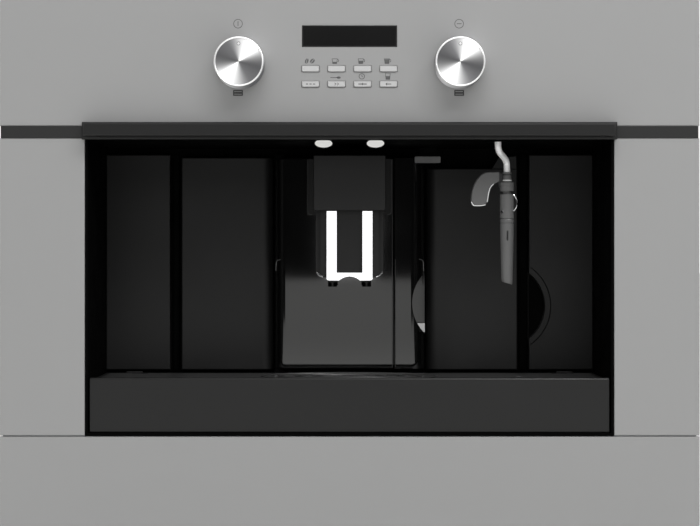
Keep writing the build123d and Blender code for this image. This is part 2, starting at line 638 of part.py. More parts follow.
def side_panel():
    depth = (FRAME_FACE, CASE_DEPTH - SHEET)
    panel = block((CASE_INNER, CASE_HALF), depth, (CASE_FLOOR, CASE_TOP - SHEET))
    first = RAIL_LEVEL + RAIL_HEIGHT
    rows = int((CASE_TOP - first - FLANGE * 3) // VENT_PITCH)
    for row in range(rows):
        level = first + FLANGE + row * VENT_PITCH
        slot = block(
            (CASE_INNER - REACH, CASE_HALF + REACH),
            (CASE_DEPTH - VENT_LENGTH * 2, CASE_DEPTH - VENT_LENGTH),
            (level, level + VENT_WIDTH),
        )
        panel -= slot
    return panel


def back_panel():
    panel = block(around(CASE_HALF), (CASE_DEPTH - SHEET, CASE_DEPTH), (CASE_BOTTOM, CASE_TOP))
    cut_depth = (CASE_DEPTH - SHEET - REACH, CASE_DEPTH + REACH)
    for side in (-1, 1):
        for row in range(VENT_ROWS):
            level = CASE_TOP - FLANGE * 3 - row * VENT_PITCH
            middle = side * CASE_HALF / 2
            limits = (middle - VENT_LENGTH, middle + VENT_LENGTH)
            panel -= block(limits, cut_depth, (level, level + VENT_WIDTH))
    panel -= block(*inlet_limits(INLET_WIDTH, INLET_HEIGHT, cut_depth))
    panel -= block(*switch_limits(SWITCH_WIDTH, SWITCH_HEIGHT, cut_depth))
    return [panel]


def inlet_limits(width, height, depth):
    """The limits of a box of some size around the mains inlet's middle."""
    return (
        (INLET_X - width / 2, INLET_X + width / 2),
        depth,
        (INLET_LEVEL - height / 2, INLET_LEVEL + height / 2),
    )


def switch_limits(width, height, depth):
    """The limits of a box of some size around the mains switch's middle."""
    return (
        (SWITCH_X - width / 2, SWITCH_X + width / 2),
        depth,
        (INLET_LEVEL - height / 2, INLET_LEVEL + height / 2),
    )


def top_cover():
    depth = (FRAME_FACE, CASE_DEPTH - SHEET)
    sheet = block(around(CASE_HALF), depth, (HOPPER_TOP, CASE_TOP))
    ear_depth = (LID_HINGE_DEPTH - LID_HINGE_RADIUS, LID_HINGE_DEPTH + LID_HINGE_RADIUS)
    ear_top = LID_HINGE_LEVEL + LID_HINGE_RADIUS
    for low, high in lid_ears():
        sheet += block((low, high), ear_depth, (CASE_TOP, ear_top))
        bore = LID_PIN_RADIUS + HINGE_PLAY
        sheet -= bar(LID_HINGE_DEPTH, LID_HINGE_LEVEL, bore, (low - REACH, high + REACH))
    opening_z = (HOPPER_TOP - REACH, CASE_TOP + REACH)
    return [sheet - block((HOPPER_LEFT, HOPPER_RIGHT), (HOPPER_FRONT, HOPPER_BACK), opening_z)]


def lid_ears():
    """The X limits of the two ears that hold the hopper lid's pins."""
    left, right = HOPPER_LEFT + LID_OVERLAP * 2, HOPPER_RIGHT - LID_OVERLAP * 2
    return (left - LID_EAR, left), (right, right + LID_EAR)


def front_frame():
    half = HALF_FRONT - FRAME_INSET
    outer_z = (FRAME_INSET, FRONT_HEIGHT - FRAME_INSET)
    frame = hollow_block(around(half), (FASCIA, FASCIA + FRAME_DEPTH), outer_z, SHEET, "back")
    through = (FASCIA - REACH, FRAME_FACE + REACH)
    frame -= block(around(RECESS_HALF), through, (RECESS_BOTTOM, LINER_TOP))
    frame -= block(around(WINDOW_WIDTH / 2), through, (WINDOW_BOTTOM, WINDOW_TOP))
    return [frame]


# ------------------------------------------------------------------ front panels
def soften(shape, depth, radius):
    """Round every edge in the front face of a panel."""
    return fillet(front_edges(shape, depth), radius)


def button_centres():
    """Each button's name with its X and Z."""
    first = -BUTTON_PITCH * (BUTTON_COLUMNS - 1) / 2
    return {
        f"{row}_button_{column + 1}": (first + BUTTON_PITCH * column, FRONT_HEIGHT - drop)
        for row, drop in BUTTON_DROPS.items()
        for column in range(BUTTON_COLUMNS)
    }


def control_panel():
    panel = block(around(HALF_FRONT), (0, FASCIA), (STRIP_TOP, FRONT_HEIGHT))
    panel = soften(panel, 0, PANEL_SOFTNESS)
    through = (-REACH, FASCIA + REACH)
    for side in (-1, 1):
        panel -= rod(side * KNOB_SPACING / 2, CONTROL_LEVEL, BUSH_RADIUS + BUSH_PLAY, through)
    panel -= block(around(DISPLAY_WIDTH / 2), through, display_z(0))
    half_width = BUTTON_WIDTH / 2 + BUTTON_PLAY
    half_height = BUTTON_HEIGHT / 2 + BUTTON_PLAY
    for x, z in button_centres().values():
        panel -= block((x - half_width, x + half_width), through, (z - half_height, z + half_height))
    return [panel]


def display_z(margin):
    """The heights of the display's lower and upper edge, with a margin."""
    half = DISPLAY_HEIGHT / 2 + margin
    return (DISPLAY_LEVEL - half, DISPLAY_LEVEL + half)


def display_window():
    return [block(around(DISPLAY_WIDTH / 2), (DISPLAY_SET_BACK, FASCIA), display_z(0))]


def column_panels():
    z = (BOTTOM_PANEL_TOP + SEAM, STRIP_BOTTOM)
    panel = soften(block((RECESS_HALF, HALF_FRONT), (0, FASCIA), z), 0, PANEL_SOFTNESS)
    return [panel, mirrored(panel)]


def bottom_panel():
    panel = block(around(HALF_FRONT), (0, FASCIA), (0, BOTTOM_PANEL_TOP))
    return [soften(panel, 0, PANEL_SOFTNESS)]


def trim_strip():
    strip = block(around(STRIP_LENGTH / 2), (-STRIP_PROUD, FASCIA), (STRIP_BOTTOM, STRIP_TOP))
    return [fillet(front_edges(strip, -STRIP_PROUD), STRIP_SOFTNESS)]


def pull_handle():
    half = HANDLE_LENGTH / 2
    top = HANDLE_BOTTOM + HANDLE_HEIGHT
    base = block(around(half), (-STRIP_PROUD - HANDLE_BASE, -STRIP_PROUD), (HANDLE_BOTTOM, top))
    base = chamfer(front_edges(base, -STRIP_PROUD - HANDLE_BASE), HANDLE_BEVEL)
    bar_half = half - HANDLE_BAR_INSET
    bar_z = (HANDLE_BOTTOM + HANDLE_LIP, top - HANDLE_LIP)
    grip = block(around(bar_half), (-HANDLE_PROUD, -STRIP_PROUD - HANDLE_BASE), bar_z)
    grip = fillet(front_edges(grip, -HANDLE_PROUD), HANDLE_SOFTNESS)
    groove = block(
        around(bar_half - HANDLE_END),
        (HANDLE_WALL - HANDLE_PROUD, -STRIP_PROUD - HANDLE_BASE),
        (HANDLE_BOTTOM - REACH, bar_z[1] - HANDLE_WALL),
    )
    return [base + (grip - groove)]


# ------------------------------------------------------------------ controls
def knob():
    """A turned metal knob with its shaft, around the origin's Y axis; the front is at -KNOB_PROUD."""
    front, skirt = -KNOB_PROUD, -KNOB_GAP
    face = KNOB_RADIUS - KNOB_RIM
    with BuildPart() as turned:
        with BuildSketch(Plane.XY):
            with BuildLine():
                Polyline(
                    (0, front + KNOB_DISH),
                    (face - KNOB_DISH, front + KNOB_DISH),
                    (face, front),
                    (KNOB_RADIUS - KNOB_EDGE, front),
                    (KNOB_RADIUS, front + KNOB_EDGE),
                    (KNOB_RADIUS, skirt),
                    (KNOB_RADIUS - KNOB_WALL, skirt),
                    (KNOB_RADIUS - KNOB_WALL, front + KNOB_FACE_THICKNESS),
                    (SHAFT_RADIUS, front + KNOB_FACE_THICKNESS),
                    (SHAFT_RADIUS, FASCIA + SHAFT_END),
                    (0, FASCIA + SHAFT_END),
                    close=True,
                )
            make_face()
        revolve(axis=Axis.Y)
    dot = Pos(0, front + KNOB_DISH, DOT_RISE) * Rot(90, 0, 0) * Cylinder(DOT_RADIUS, DOT_DEPTH * 2)
    return turned.part - dot


def knob_at(side):
    return [Pos(side * KNOB_SPACING / 2, FRONT_Y, CONTROL_LEVEL) * knob()]


def rotary_switches():
    x = KNOB_SPACING / 2
    half = SWITCH_SIZE / 2
    body = block(
        (x - half, x + half), (FRAME_FACE, BOARD_DEPTH), (CONTROL_LEVEL - half, CONTROL_LEVEL + half)
    )
    body += rod(x, CONTROL_LEVEL, BUSH_RADIUS, (0, FRAME_FACE))
    body -= rod(x, CONTROL_LEVEL, SHAFT_RADIUS + SHAFT_PLAY, (-REACH, FASCIA + SHAFT_END + SHAFT_END_PLAY))
    return [body, mirrored(body)]


def control_board():
    depth = (BOARD_DEPTH, BOARD_DEPTH + BOARD_THICKNESS)
    board = block(around(BOARD_WIDTH / 2), depth, (BOARD_BOTTOM, BOARD_TOP))
    post_x = (WINDOW_WIDTH + BOARD_WIDTH) / 4
    for side in (-1, 1):
        for level in (BOARD_BOTTOM + POST_RADIUS * 2, BOARD_TOP - POST_RADIUS * 2):
            board += rod(side * post_x, level, POST_RADIUS, (FRAME_FACE, BOARD_DEPTH))
    half_width, half_height = TACT_WIDTH / 2, TACT_HEIGHT / 2
    for x, z in button_centres().values():
        tact_depth = (BOARD_DEPTH - TACT_DEPTH, BOARD_DEPTH)
        board += block((x - half_width, x + half_width), tact_depth, (z - half_height, z + half_height))
    screen_x = around(DISPLAY_WIDTH / 2 - SCREEN_MARGIN)
    return [board + block(screen_x, (FRAME_FACE, BOARD_DEPTH), display_z(-SCREEN_MARGIN))]


def button(x, z):
    half_width, half_height = BUTTON_WIDTH / 2, BUTTON_HEIGHT / 2
    back = FASCIA + BUTTON_PLAY
    cap_x, cap_z = (x - half_width, x + half_width), (z - half_height, z + half_height)
    cap = block(cap_x, (-BUTTON_PROUD, back), cap_z)
    lower = cap.edges().filter_by(Axis.Y).sort_by(Axis.Z)[:2]
    cap = fillet(lower, BUTTON_CORNER)
    cap = chamfer(front_edges(cap, -BUTTON_PROUD), BUTTON_BEVEL)
    wide, tall = half_width + BUTTON_FLANGE, half_height + BUTTON_FLANGE / 2
    flange_back = back + BUTTON_FLANGE
    cap += block((x - wide, x + wide), (back, flange_back), (z - tall, z + tall))
    stem_end = BOARD_DEPTH - TACT_DEPTH - BUTTON_TRAVEL - TACT_GAP
    stem_x = (x - STEM_WIDTH / 2, x + STEM_WIDTH / 2)
    cap += block(stem_x, (flange_back, stem_end), (z - STEM_HEIGHT / 2, z + STEM_HEIGHT / 2))
    return [cap]


# ------------------------------------------------------------------ recess
def grip_scoop(middle_x, level, radius, depth):
    """A round finger scoop with a bevelled rim, to be cut out of a panel's face."""
    straight = rod(middle_x, level, radius - GRIP_RIM, (depth[0] - REACH, depth[1]))
    front = y_at(depth[0])
    rim = Pos(middle_x, front + GRIP_RIM / 2, level) * Rot(90, 0, 0)
    bevel = rim * Cone(radius - GRIP_RIM, radius, GRIP_RIM)
    return straight + bevel


def recess_liner():
    """The black moulding behind the opening, with the tray's channel and the tank's bay."""
    liner = block(around(RECESS_HALF), (0, BEHIND), (RECESS_BOTTOM, LINER_TOP))
    liner -= block(around(RECESS_INNER), (-REACH, BACK_WALL), (RECESS_FLOOR, RECESS_TOP))
    liner -= block(around(RECESS_HALF + REACH), (-REACH, FASCIA), (RECESS_TOP, LINER_TOP + REACH))
    liner = with_tray_channel(liner)
    liner = with_tank_bay(liner)
    hatch_x = (DOOR_LEFT + DOOR_SPINE, DOOR_RIGHT - DOOR_SKIN)
    hatch_z = (DOOR_BOTTOM + DOOR_SKIN, DOOR_TOP - DOOR_SKIN)
    liner -= block(hatch_x, (BACK_WALL - REACH, BEHIND + REACH), hatch_z)
    lug_x = (HINGE_X - LUG_HALF_WIDTH, HINGE_X + LUG_HALF_WIDTH)
    for level in (DOOR_BOTTOM - LUG_GAP - LUG_THICKNESS, DOOR_TOP + LUG_GAP):
        liner += block(lug_x, (HINGE_DEPTH - LUG_HALF_WIDTH, BACK_WALL), (level, level + LUG_THICKNESS))
        hole_z = (level - LUG_GAP, level + LUG_THICKNESS + LUG_GAP)
        liner -= post(HINGE_X, HINGE_DEPTH, HINGE_PIN_RADIUS + HINGE_PLAY, hole_z)
    for side in (-1, 1):
        pod = lamp_place(side) * Pos(0, 0, LAMP_POD_HEIGHT / 2 - LENS_THICKNESS)
        liner += pod * Cylinder(LAMP_RADIUS + LAMP_POD_WALL, LAMP_POD_HEIGHT)
        seat = lamp_place(side) * Pos(0, 0, -LAMP_RADIUS)
        liner -= seat * Cylinder(LAMP_RADIUS, LAMP_RADIUS * 2)
    turret_z = (RECESS_TOP - REACH, LINER_TOP + REACH)
    liner -= post(WAND_X, WAND_DEPTH, TURRET_RADIUS + TURRET_PLAY, turret_z)
    return [liner]


def with_tray_channel(liner):
    """Add the channel in which the tray's tongue runs, and open the back wall in front of it."""
    half = TONGUE_WIDTH / 2 + GRILLE_PLAY * 2
    back = TONGUE_BACK + REACH
    z = (RECESS_BOTTOM, RECESS_FLOOR + CHANNEL_HEIGHT)
    channel = hollow_block(around(half + LINER), (BEHIND, back + LINER), z, LINER, "top")
    channel -= block(around(half), (BEHIND - REACH, back), (RECESS_FLOOR, INNER_BOTTOM))
    opening = block(around(half), (BACK_WALL - REACH, BEHIND + REACH), (RECESS_FLOOR, INNER_BOTTOM))
    return liner + channel - opening


def with_tank_bay(liner):
    """Add the box that the water tank slides into, which is open in front and at the top."""
    gap = TANK_INSET - TANK_SIDE_PLAY
    x = (TANK_LEFT + gap, TANK_RIGHT - gap)
    z = (INNER_BOTTOM + TANK_LIFT, TANK_TOP - TANK_BAY_DROP)
    back = TANK_BACK + TANK_SIDE_PLAY * 2
    outer = block((x[0] - LINER, x[1] + LINER), (BEHIND, back + LINER), (z[0] - LINER, z[1] + LINER))
    inner = block(x, (BACK_WALL - REACH, back), z)
    top = block(x, (BEHIND + TANK_BAY_BRIDGE, back), (z[1] - REACH, z[1] + LINER + REACH))
    return liner + outer - inner - top


def lamp_place(side):
    """Where a lamp lens sits: its own -Z looks down and forwards."""
    return Pos(side * LAMP_SPACING / 2, y_at(LAMP_DEPTH), LAMP_LEVEL) * Rot(-LAMP_TILT, 0, 0)


def lamp_lenses():
    lens = lamp_place(1) * Pos(0, 0, -LENS_THICKNESS / 2) * Cylinder(LAMP_RADIUS, LENS_THICKNESS)
    return [lens, mirrored(lens)]


def inner_shell(x, z, round_side=None):
    """A hollow inner panel; its upright edge on the round side is well rounded."""
    depth = (RECESS_DEPTH, BACK_WALL)
    outer = block(x, depth, z)
    inner_x = (x[0] + INNER_SKIN, x[1] - INNER_SKIN)
    inner_front = RECESS_DEPTH + INNER_SKIN
    inner = block(inner_x, (inner_front, BACK_WALL + REACH), (z[0] + INNER_SKIN, z[1] - INNER_SKIN))
    if round_side is not None:
        outer = fillet(edges_at(outer, Axis.Z, x=x[round_side], depth=RECESS_DEPTH), ROUND_EDGE)
        inner_edge = edges_at(inner, Axis.Z, x=inner_x[round_side], depth=inner_front)
        inner = fillet(inner_edge, ROUND_EDGE - INNER_SKIN)
    outer = fillet(front_edges(outer, RECESS_DEPTH), PANEL_EDGE)
    return outer - inner


def left_outer_panel():
    return [inner_shell((-RECESS_INNER, LEFT_OUTER_EDGE), (INNER_BOTTOM, OUTER_PANEL_TOP))]


def left_inner_panel():
    return [inner_shell((LEFT_INNER_LEFT, LEFT_INNER_RIGHT), (INNER_BOTTOM, LEFT_INNER_TOP), 1)]


def right_outer_panel():
    x, z = (RIGHT_OUTER_EDGE, RECESS_INNER), (INNER_BOTTOM, OUTER_PANEL_TOP)
    panel = inner_shell(x, z)
    wall = rod(GRIP_X, GRIP_LEVEL, GRIP_RADIUS + INNER_SKIN, (RECESS_DEPTH + PANEL_EDGE, BACK_WALL))
    panel += wall & block(x, (RECESS_DEPTH, BACK_WALL), z)
    return [panel - grip_scoop(GRIP_X, GRIP_LEVEL, GRIP_RADIUS, (RECESS_DEPTH, BACK_WALL - INNER_SKIN))]


def gap_strips():
    z = (INNER_BOTTOM, OUTER_PANEL_TOP)
    depth = (BACK_WALL - STRIP_DEPTH, BACK_WALL)
    left = block((LEFT_STRIP_LEFT, LEFT_STRIP_RIGHT), depth, z)
    right = block((RIGHT_STRIP_LEFT, RIGHT_STRIP_RIGHT), depth, z)
    scoop_depth = (depth[0] - REACH, BACK_WALL - INNER_SKIN / 2)
    return [left, right - rod(GRIP_X, GRIP_LEVEL, GRIP_RADIUS - GRIP_RIM, scoop_depth)]


def centre_trim():
    trim = block((TRIM_LEFT, TRIM_RIGHT), (DOOR_FACE, BACK_WALL), (DOOR_BOTTOM, DOOR_TOP))
    trim = fillet(edges_at(trim, Axis.Z, x=TRIM_RIGHT, depth=DOOR_FACE), TRIM_ROUND)
    trim = fillet(edges_at(trim, Axis.Z, x=TRIM_LEFT, depth=DOOR_FACE), TRIM_SOFTNESS)
    depth = (DOOR_FACE - REACH, BACK_WALL - INNER_SKIN)
    return [trim - rod(SMALL_GRIP_X, SMALL_GRIP_LEVEL, SMALL_GRIP_RADIUS, depth)]


# ------------------------------------------------------------------ service door and spout
def service_door():
    leaf = block((DOOR_LEFT, DOOR_RIGHT), (DOOR_FACE, DOOR_BACK), (DOOR_BOTTOM, DOOR_TOP))
    leaf = fillet(edges_at(leaf, Axis.Z, x=DOOR_LEFT, depth=DOOR_FACE), DOOR_ROUND)
    leaf = fillet(edges_at(leaf, Axis.X, depth=DOOR_FACE), DOOR_SOFTNESS)
    hollow_x = (DOOR_LEFT + DOOR_SPINE, DOOR_RIGHT - DOOR_SKIN)
    hollow_z = (DOOR_BOTTOM + DOOR_SKIN, DOOR_TOP - DOOR_SKIN)
    leaf -= block(hollow_x, (DOOR_FACE + DOOR_SKIN, DOOR_BACK + REACH), hollow_z)
    reach = LUG_GAP + LUG_THICKNESS - PIN_END_GAP
    root = DOOR_SKIN / 2
    leaf += post(HINGE_X, HINGE_DEPTH, HINGE_PIN_RADIUS, (DOOR_BOTTOM - reach, DOOR_BOTTOM + root))
    leaf += post(HINGE_X, HINGE_DEPTH, HINGE_PIN_RADIUS, (DOOR_TOP - root, DOOR_TOP + reach))
    return [leaf]


def spout_cover():
    half = COVER_WIDTH / 2
    low = COVER_BOTTOM - COVER_SKIRT
    hood = hollow_block(around(half), (COVER_FRONT, DOOR_FACE), (low, COVER_TOP), COVER_WALL, "back")
    hood -= block(around(half + REACH), (COVER_FRONT - REACH, DOOR_FACE + REACH), (low - REACH, COVER_BOTTOM))
    for edge in (-half, half):
        hood = fillet(edges_at(hood, Axis.Z, x=edge, depth=COVER_FRONT), COVER_WALL * 0.7)
    plate_x = (-COVER_PLATE_LEFT, DOOR_RIGHT - COVER_PLATE_MARGIN)
    plate_z = (COVER_BOTTOM - COVER_PLATE_DROP, DOOR_TOP - TRIM_SOFTNESS)
    plate = block(plate_x, (DOOR_FACE - COVER_PLATE, DOOR_FACE), plate_z)
    slot_z = (plate_z[0] - REACH, COVER_TOP - COVER_WALL)
    plate -= block(around(half - COVER_WALL), (DOOR_FACE - REACH, DOOR_FACE + REACH), slot_z)
    return [hood + plate]


def spout_slider():
    half = COVER_WIDTH / 2 - COVER_WALL - SPOUT_PLAY
    front, back = CHEEK_FRONT + SPOUT_STEP, DOOR_FACE - SPOUT_PLAY
    housing = block(around(half), (front, back), (SPOUT_BOTTOM, SPOUT_TOP))
    housing = fillet(edges_at(housing, Axis.Y, z=SPOUT_BOTTOM), SPOUT_CORNER)
    cheek = block(around(half - SPOUT_STEP), (CHEEK_FRONT, front), (SPOUT_BOTTOM, SPOUT_TOP))
    cheek = fillet(edges_at(cheek, Axis.Y, z=SPOUT_BOTTOM), CHEEK_CORNER)
    hollow_z = (SPOUT_BOTTOM + SPOUT_FLOOR, SPOUT_TOP + REACH)
    hollow = block(around(half - SPOUT_WALL), (front + SPOUT_WALL, back - SPOUT_WALL), hollow_z)
    slider = housing + cheek - hollow
    nozzle_y = y_at(front + NOZZLE_RADIUS + NOZZLE_SET_BACK)
    for side in (-1, 1):
        place = Pos(side * NOZZLE_SPACING / 2, nozzle_y, (SPOUT_BOTTOM + NOZZLE_TIP) / 2)
        slider += place * Cone(NOZZLE_TIP_RADIUS, NOZZLE_RADIUS, NOZZLE_LENGTH)
        slider -= place * Cylinder(NOZZLE_BORE, NOZZLE_LENGTH + SPOUT_FLOOR * 2 + REACH)
    return [slider]


def spout_face():
    half = FACE_WIDTH / 2
    depth = (CHEEK_FRONT - FACE_THICKNESS, CHEEK_FRONT)
    plate = block(around(half), depth, (FACE_BOTTOM, FACE_TOP))
    plate = fillet(edges_at(plate, Axis.Y, z=FACE_BOTTOM), FACE_CORNER)
    cut = (depth[0] - REACH, depth[1] + REACH)
    plate -= block(around(half - FACE_LEG), cut, (FACE_BOTTOM + FACE_FOOT, FACE_TOP + REACH))
    plate -= rod(0, FACE_BOTTOM - FACE_ARCH_RADIUS + FACE_ARCH_RISE, FACE_ARCH_RADIUS, cut)
    return [fillet(edges_at(plate, Axis.Z, depth=depth[0]), FACE_SOFTNESS)]


# ------------------------------------------------------------------ water tank
def tank_front():
    return [inner_shell((TANK_LEFT, TANK_RIGHT), (INNER_BOTTOM, TANK_TOP), 0)]


def water_tank():
    x = (TANK_LEFT + TANK_INSET, TANK_RIGHT - TANK_INSET)
    tank = hollow_block(
        x, (BACK_WALL, TANK_BACK), (INNER_BOTTOM + TANK_LIFT, TANK_TOP - TANK_RIM_DROP), TANK_WALL, "top"
    )
    plug_x = (TANK_LEFT + ROUND_EDGE, TANK_RIGHT - INNER_SKIN - TANK_SIDE_PLAY)
    plug_z = (INNER_BOTTOM + INNER_SKIN + PLUG_MARGIN, TANK_TOP - INNER_SKIN - PLUG_MARGIN)
    return [tank + block(plug_x, (RECESS_DEPTH + INNER_SKIN, BACK_WALL), plug_z)]


# ------------------------------------------------------------------ drip tray
def drip_tray():
    side = around(TRAY_WIDTH / 2)
    body = block(side, (TRAY_START + TRAY_SHOULDER, TRAY_END), (RECESS_FLOOR, TRAY_TOP))
    front = block(side, (TRAY_START, TRAY_START + TRAY_FRONT_WALL), (RECESS_FLOOR, TRAY_LIP))
    front = fillet(edges_at(front, Axis.X, depth=TRAY_START), LIP_SOFTNESS)
    tray = body + front
    tray -= block(*pocket_limits(0), (TRAY_TOP - GRILLE_THICKNESS, TRAY_TOP + REACH))
    tray -= block(*pocket_limits(LEDGE), (BASKET_BOTTOM, TRAY_TOP))
    tongue_z = (RECESS_FLOOR, RECESS_FLOOR + TONGUE_WALL_HEIGHT)
    tongue = block(around(TONGUE_WIDTH / 2), (TRAY_END, TONGUE_BACK), tongue_z)
    trough_depth = (TRAY_END - REACH, TONGUE_BACK - TRAY_WALL)
    tongue -= block(around(TONGUE_WIDTH / 2 - TRAY_WALL), trough_depth, (BASKET_BOTTOM, tongue_z[1] + REACH))
    return [tray + tongue]


def pocket_limits(inset):
    """The X and depth limits of the tray's inside, taken in by an inset."""
    half = TRAY_WIDTH / 2 - TRAY_WALL - inset
    return around(half), (TRAY_START + TRAY_FRONT_WALL + inset, TRAY_END - TRAY_REAR_RIM - inset)


def cup_grille():
    x, depth = pocket_limits(GRILLE_PLAY)
    bottom = TRAY_TOP - GRILLE_THICKNESS
    plate = block(x, depth, (bottom, TRAY_TOP))
    cut_z = (bottom - REACH, TRAY_TOP + REACH)
    profile = Sketch() + [Pos(*place) * SlotOverall(SLOT_LENGTH, SLOT_WIDTH) for place in slot_places(depth)]
    plate -= extrude(Pos(0, 0, cut_z[0]) * profile, cut_z[1] - cut_z[0])
    for side in (-1, 1):
        notch_x = sorted((side * (NOTCH_X - NOTCH_WIDTH / 2), side * (NOTCH_X + NOTCH_WIDTH / 2)))
        plate -= block(notch_x, (depth[1] - NOTCH_DEPTH, depth[1] + REACH), cut_z)
    return [plate - post(FLOAT_X, FLOAT_DEPTH, FLOAT_RADIUS + FLOAT_PLAY, cut_z)]


def slot_places(depth):
    """X and Y of each drain slot, in rows that are shifted against each other."""
    rows = int((depth[1] - depth[0] - SLOT_PITCH_Y) // SLOT_PITCH_Y)
    columns = int(GRILLE_FIELD // SLOT_PITCH_X)
    middle = (depth[0] + depth[1]) / 2
    places = []
    for row in range(rows):
        count = columns - row % 2
        for column in range(count):
            x = (column - (count - 1) / 2) * SLOT_PITCH_X
            places.append((x, y_at(middle + (row - (rows - 1) / 2) * SLOT_PITCH_Y)))
    return places


def tray_float():
    stem = post(FLOAT_X, FLOAT_DEPTH, FLOAT_RADIUS, (BASKET_BOTTOM, TRAY_TOP - FLOAT_SUNK))
    stem = fillet(stem.edges().sort_by(Axis.Z)[-1], FLOAT_SOFTNESS)
    return [stem + post(FLOAT_X, FLOAT_DEPTH, FLOAT_DISC, (BASKET_BOTTOM, BASKET_BOTTOM + FLOAT_DISC_HEIGHT))]


def grounds_container():
    back = TONGUE_BACK - TRAY_WALL - GROUNDS_BACK_GAP
    depth = (back - GROUNDS_LENGTH, back)
    z = (BASKET_BOTTOM, GROUNDS_TOP)
    return [hollow_block(around(GROUNDS_WIDTH / 2), depth, z, GROUNDS_WALL, "top")]


# ------------------------------------------------------------------ steam wand
def wand_yoke():
    """The turret in the recess's ceiling, with a slot in which the pipe tilts."""
    turret = post(WAND_X, WAND_DEPTH, TURRET_RADIUS, (TURRET_BOTTOM, TURRET_TOP))
    flange_bottom = LINER_TOP + TURRET_PLAY
    flange_z = (flange_bottom, flange_bottom + TURRET_FLANGE_THICKNESS)
    turret += post(WAND_X, WAND_DEPTH, TURRET_FLANGE, flange_z)
    slot = PIPE_RADIUS + TURRET_SLOT_PLAY
    slot_depth = (WAND_DEPTH - TURRET_SLOT_FRONT, WAND_DEPTH + slot + TURRET_SLOT_BACK)
    turret -= block((WAND_X - slot, WAND_X + slot), slot_depth, (TURRET_BOTTOM - REACH, TURRET_TOP + REACH))
    bore = PIVOT_PIN_RADIUS + PIVOT_PIN_PLAY
    reach = PIVOT_HOLE_REACH
    return [turret - bar(WAND_DEPTH, WAND_PIVOT_LEVEL, bore, (WAND_X - reach, WAND_X + reach))]


def wand_points():
    """The pipe's route, from its upper end to its tip."""
    return [
        (WAND_X, y_at(WAND_DEPTH), TURRET_TOP - TURRET_PLAY),
        (WAND_X, y_at(WAND_DEPTH), WAND_BEND_TOP),
        (WAND_LOW_X, y_at(WAND_LOW_DEPTH), WAND_BEND_BOTTOM),
        (WAND_LOW_X, y_at(WAND_LOW_DEPTH), PIPE_TIP),
    ]


def steam_pipe():
    pipe = tube(wand_points(), WAND_BEND_RADIUS, PIPE_RADIUS)
    pipe += post(WAND_LOW_X, WAND_LOW_DEPTH, COLLAR_RADIUS, (COLLAR_BOTTOM, COLLAR_TOP))
    pin_x = (WAND_X - PIVOT_PIN_REACH, WAND_X + PIVOT_PIN_REACH)
    pipe += bar(WAND_DEPTH, WAND_PIVOT_LEVEL, PIVOT_PIN_RADIUS, pin_x)
    bore_z = (PIPE_TIP - REACH, PIPE_TIP + PIPE_BORE_LENGTH)
    return [pipe - post(WAND_LOW_X, WAND_LOW_DEPTH, PIPE_BORE, bore_z)]


def wand_lever():
    """The bent thumb lever on the left of the grip, which a web joins to the grip's body."""
    far, near = WAND_LOW_X - LEVER_REACH, WAND_LOW_X - LEVER_END_GAP
    bottom, arm_bottom = LEVER_TOP - LEVER_HEIGHT, LEVER_TOP - LEVER_ARM
    corners = [
        (near, LEVER_TOP), (far, LEVER_TOP), (far, bottom),
        (far + LEVER_LEG, bottom), (far + LEVER_LEG, arm_bottom), (near, arm_bottom),
    ]
    outline = make_face(Polyline(*corners, close=True))
    bends = (LEVER_OUTER_BEND, LEVER_TIP_BEND, LEVER_TIP_BEND, LEVER_INNER_BEND)
    for (x, z), bend in zip(corners[1:5], bends):
        corner = outline.vertices().sort_by_distance((x, z, 0))[0]
        outline = fillet(corner, bend)
    flat = extrude(outline, LEVER_WIDTH / 2, both=True)
    flat = fillet(flat.edges().filter_by(Plane.XY), LEVER_SOFTNESS)
    lever = Pos(0, y_at(WAND_LOW_DEPTH), 0) * Rot(90, 0, 0) * flat
    web_x = (near - LEVER_ARM / 2, WAND_LOW_X - PIPE_RADIUS)
    web_z = (COLLAR_BOTTOM - LEVER_WEB, arm_bottom + LEVER_WEB)
    web_depth = (WAND_LOW_DEPTH - LEVER_WEB / 2, WAND_LOW_DEPTH + LEVER_WEB / 2)
    web = block(web_x, web_depth, web_z)
    clear_z = (COLLAR_BOTTOM, COLLAR_TOP)
    return lever + web - post(WAND_LOW_X, WAND_LOW_DEPTH, COLLAR_RADIUS, clear_z)


def wand_grip():
    body = post(WAND_LOW_X, WAND_LOW_DEPTH, GRIP_BODY_RADIUS, (GRIP_BODY_BOTTOM, COLLAR_BOTTOM))
    body = fillet(body.edges().filter_by(GeomType.CIRCLE), GRIP_BODY_SOFTNESS)
    body += wand_lever()
    bore_z = (GRIP_BODY_BOTTOM - REACH, COLLAR_BOTTOM + REACH)
    return [body - post(WAND_LOW_X, WAND_LOW_DEPTH, PIPE_RADIUS + GRIP_PLAY, bore_z)]


def frother_sleeve():
    place = Pos(WAND_LOW_X, y_at(WAND_LOW_DEPTH), SLEEVE_TIP + SLEEVE_LENGTH / 2)
    sleeve = place * Cone(SLEEVE_TIP_RADIUS, SLEEVE_TOP_RADIUS, SLEEVE_LENGTH)
    bore_z = (SLEEVE_TIP - REACH, SLEEVE_TOP + REACH)
    return [sleeve - post(WAND_LOW_X, WAND_LOW_DEPTH, PIPE_RADIUS + SLEEVE_PLAY, bore_z)]


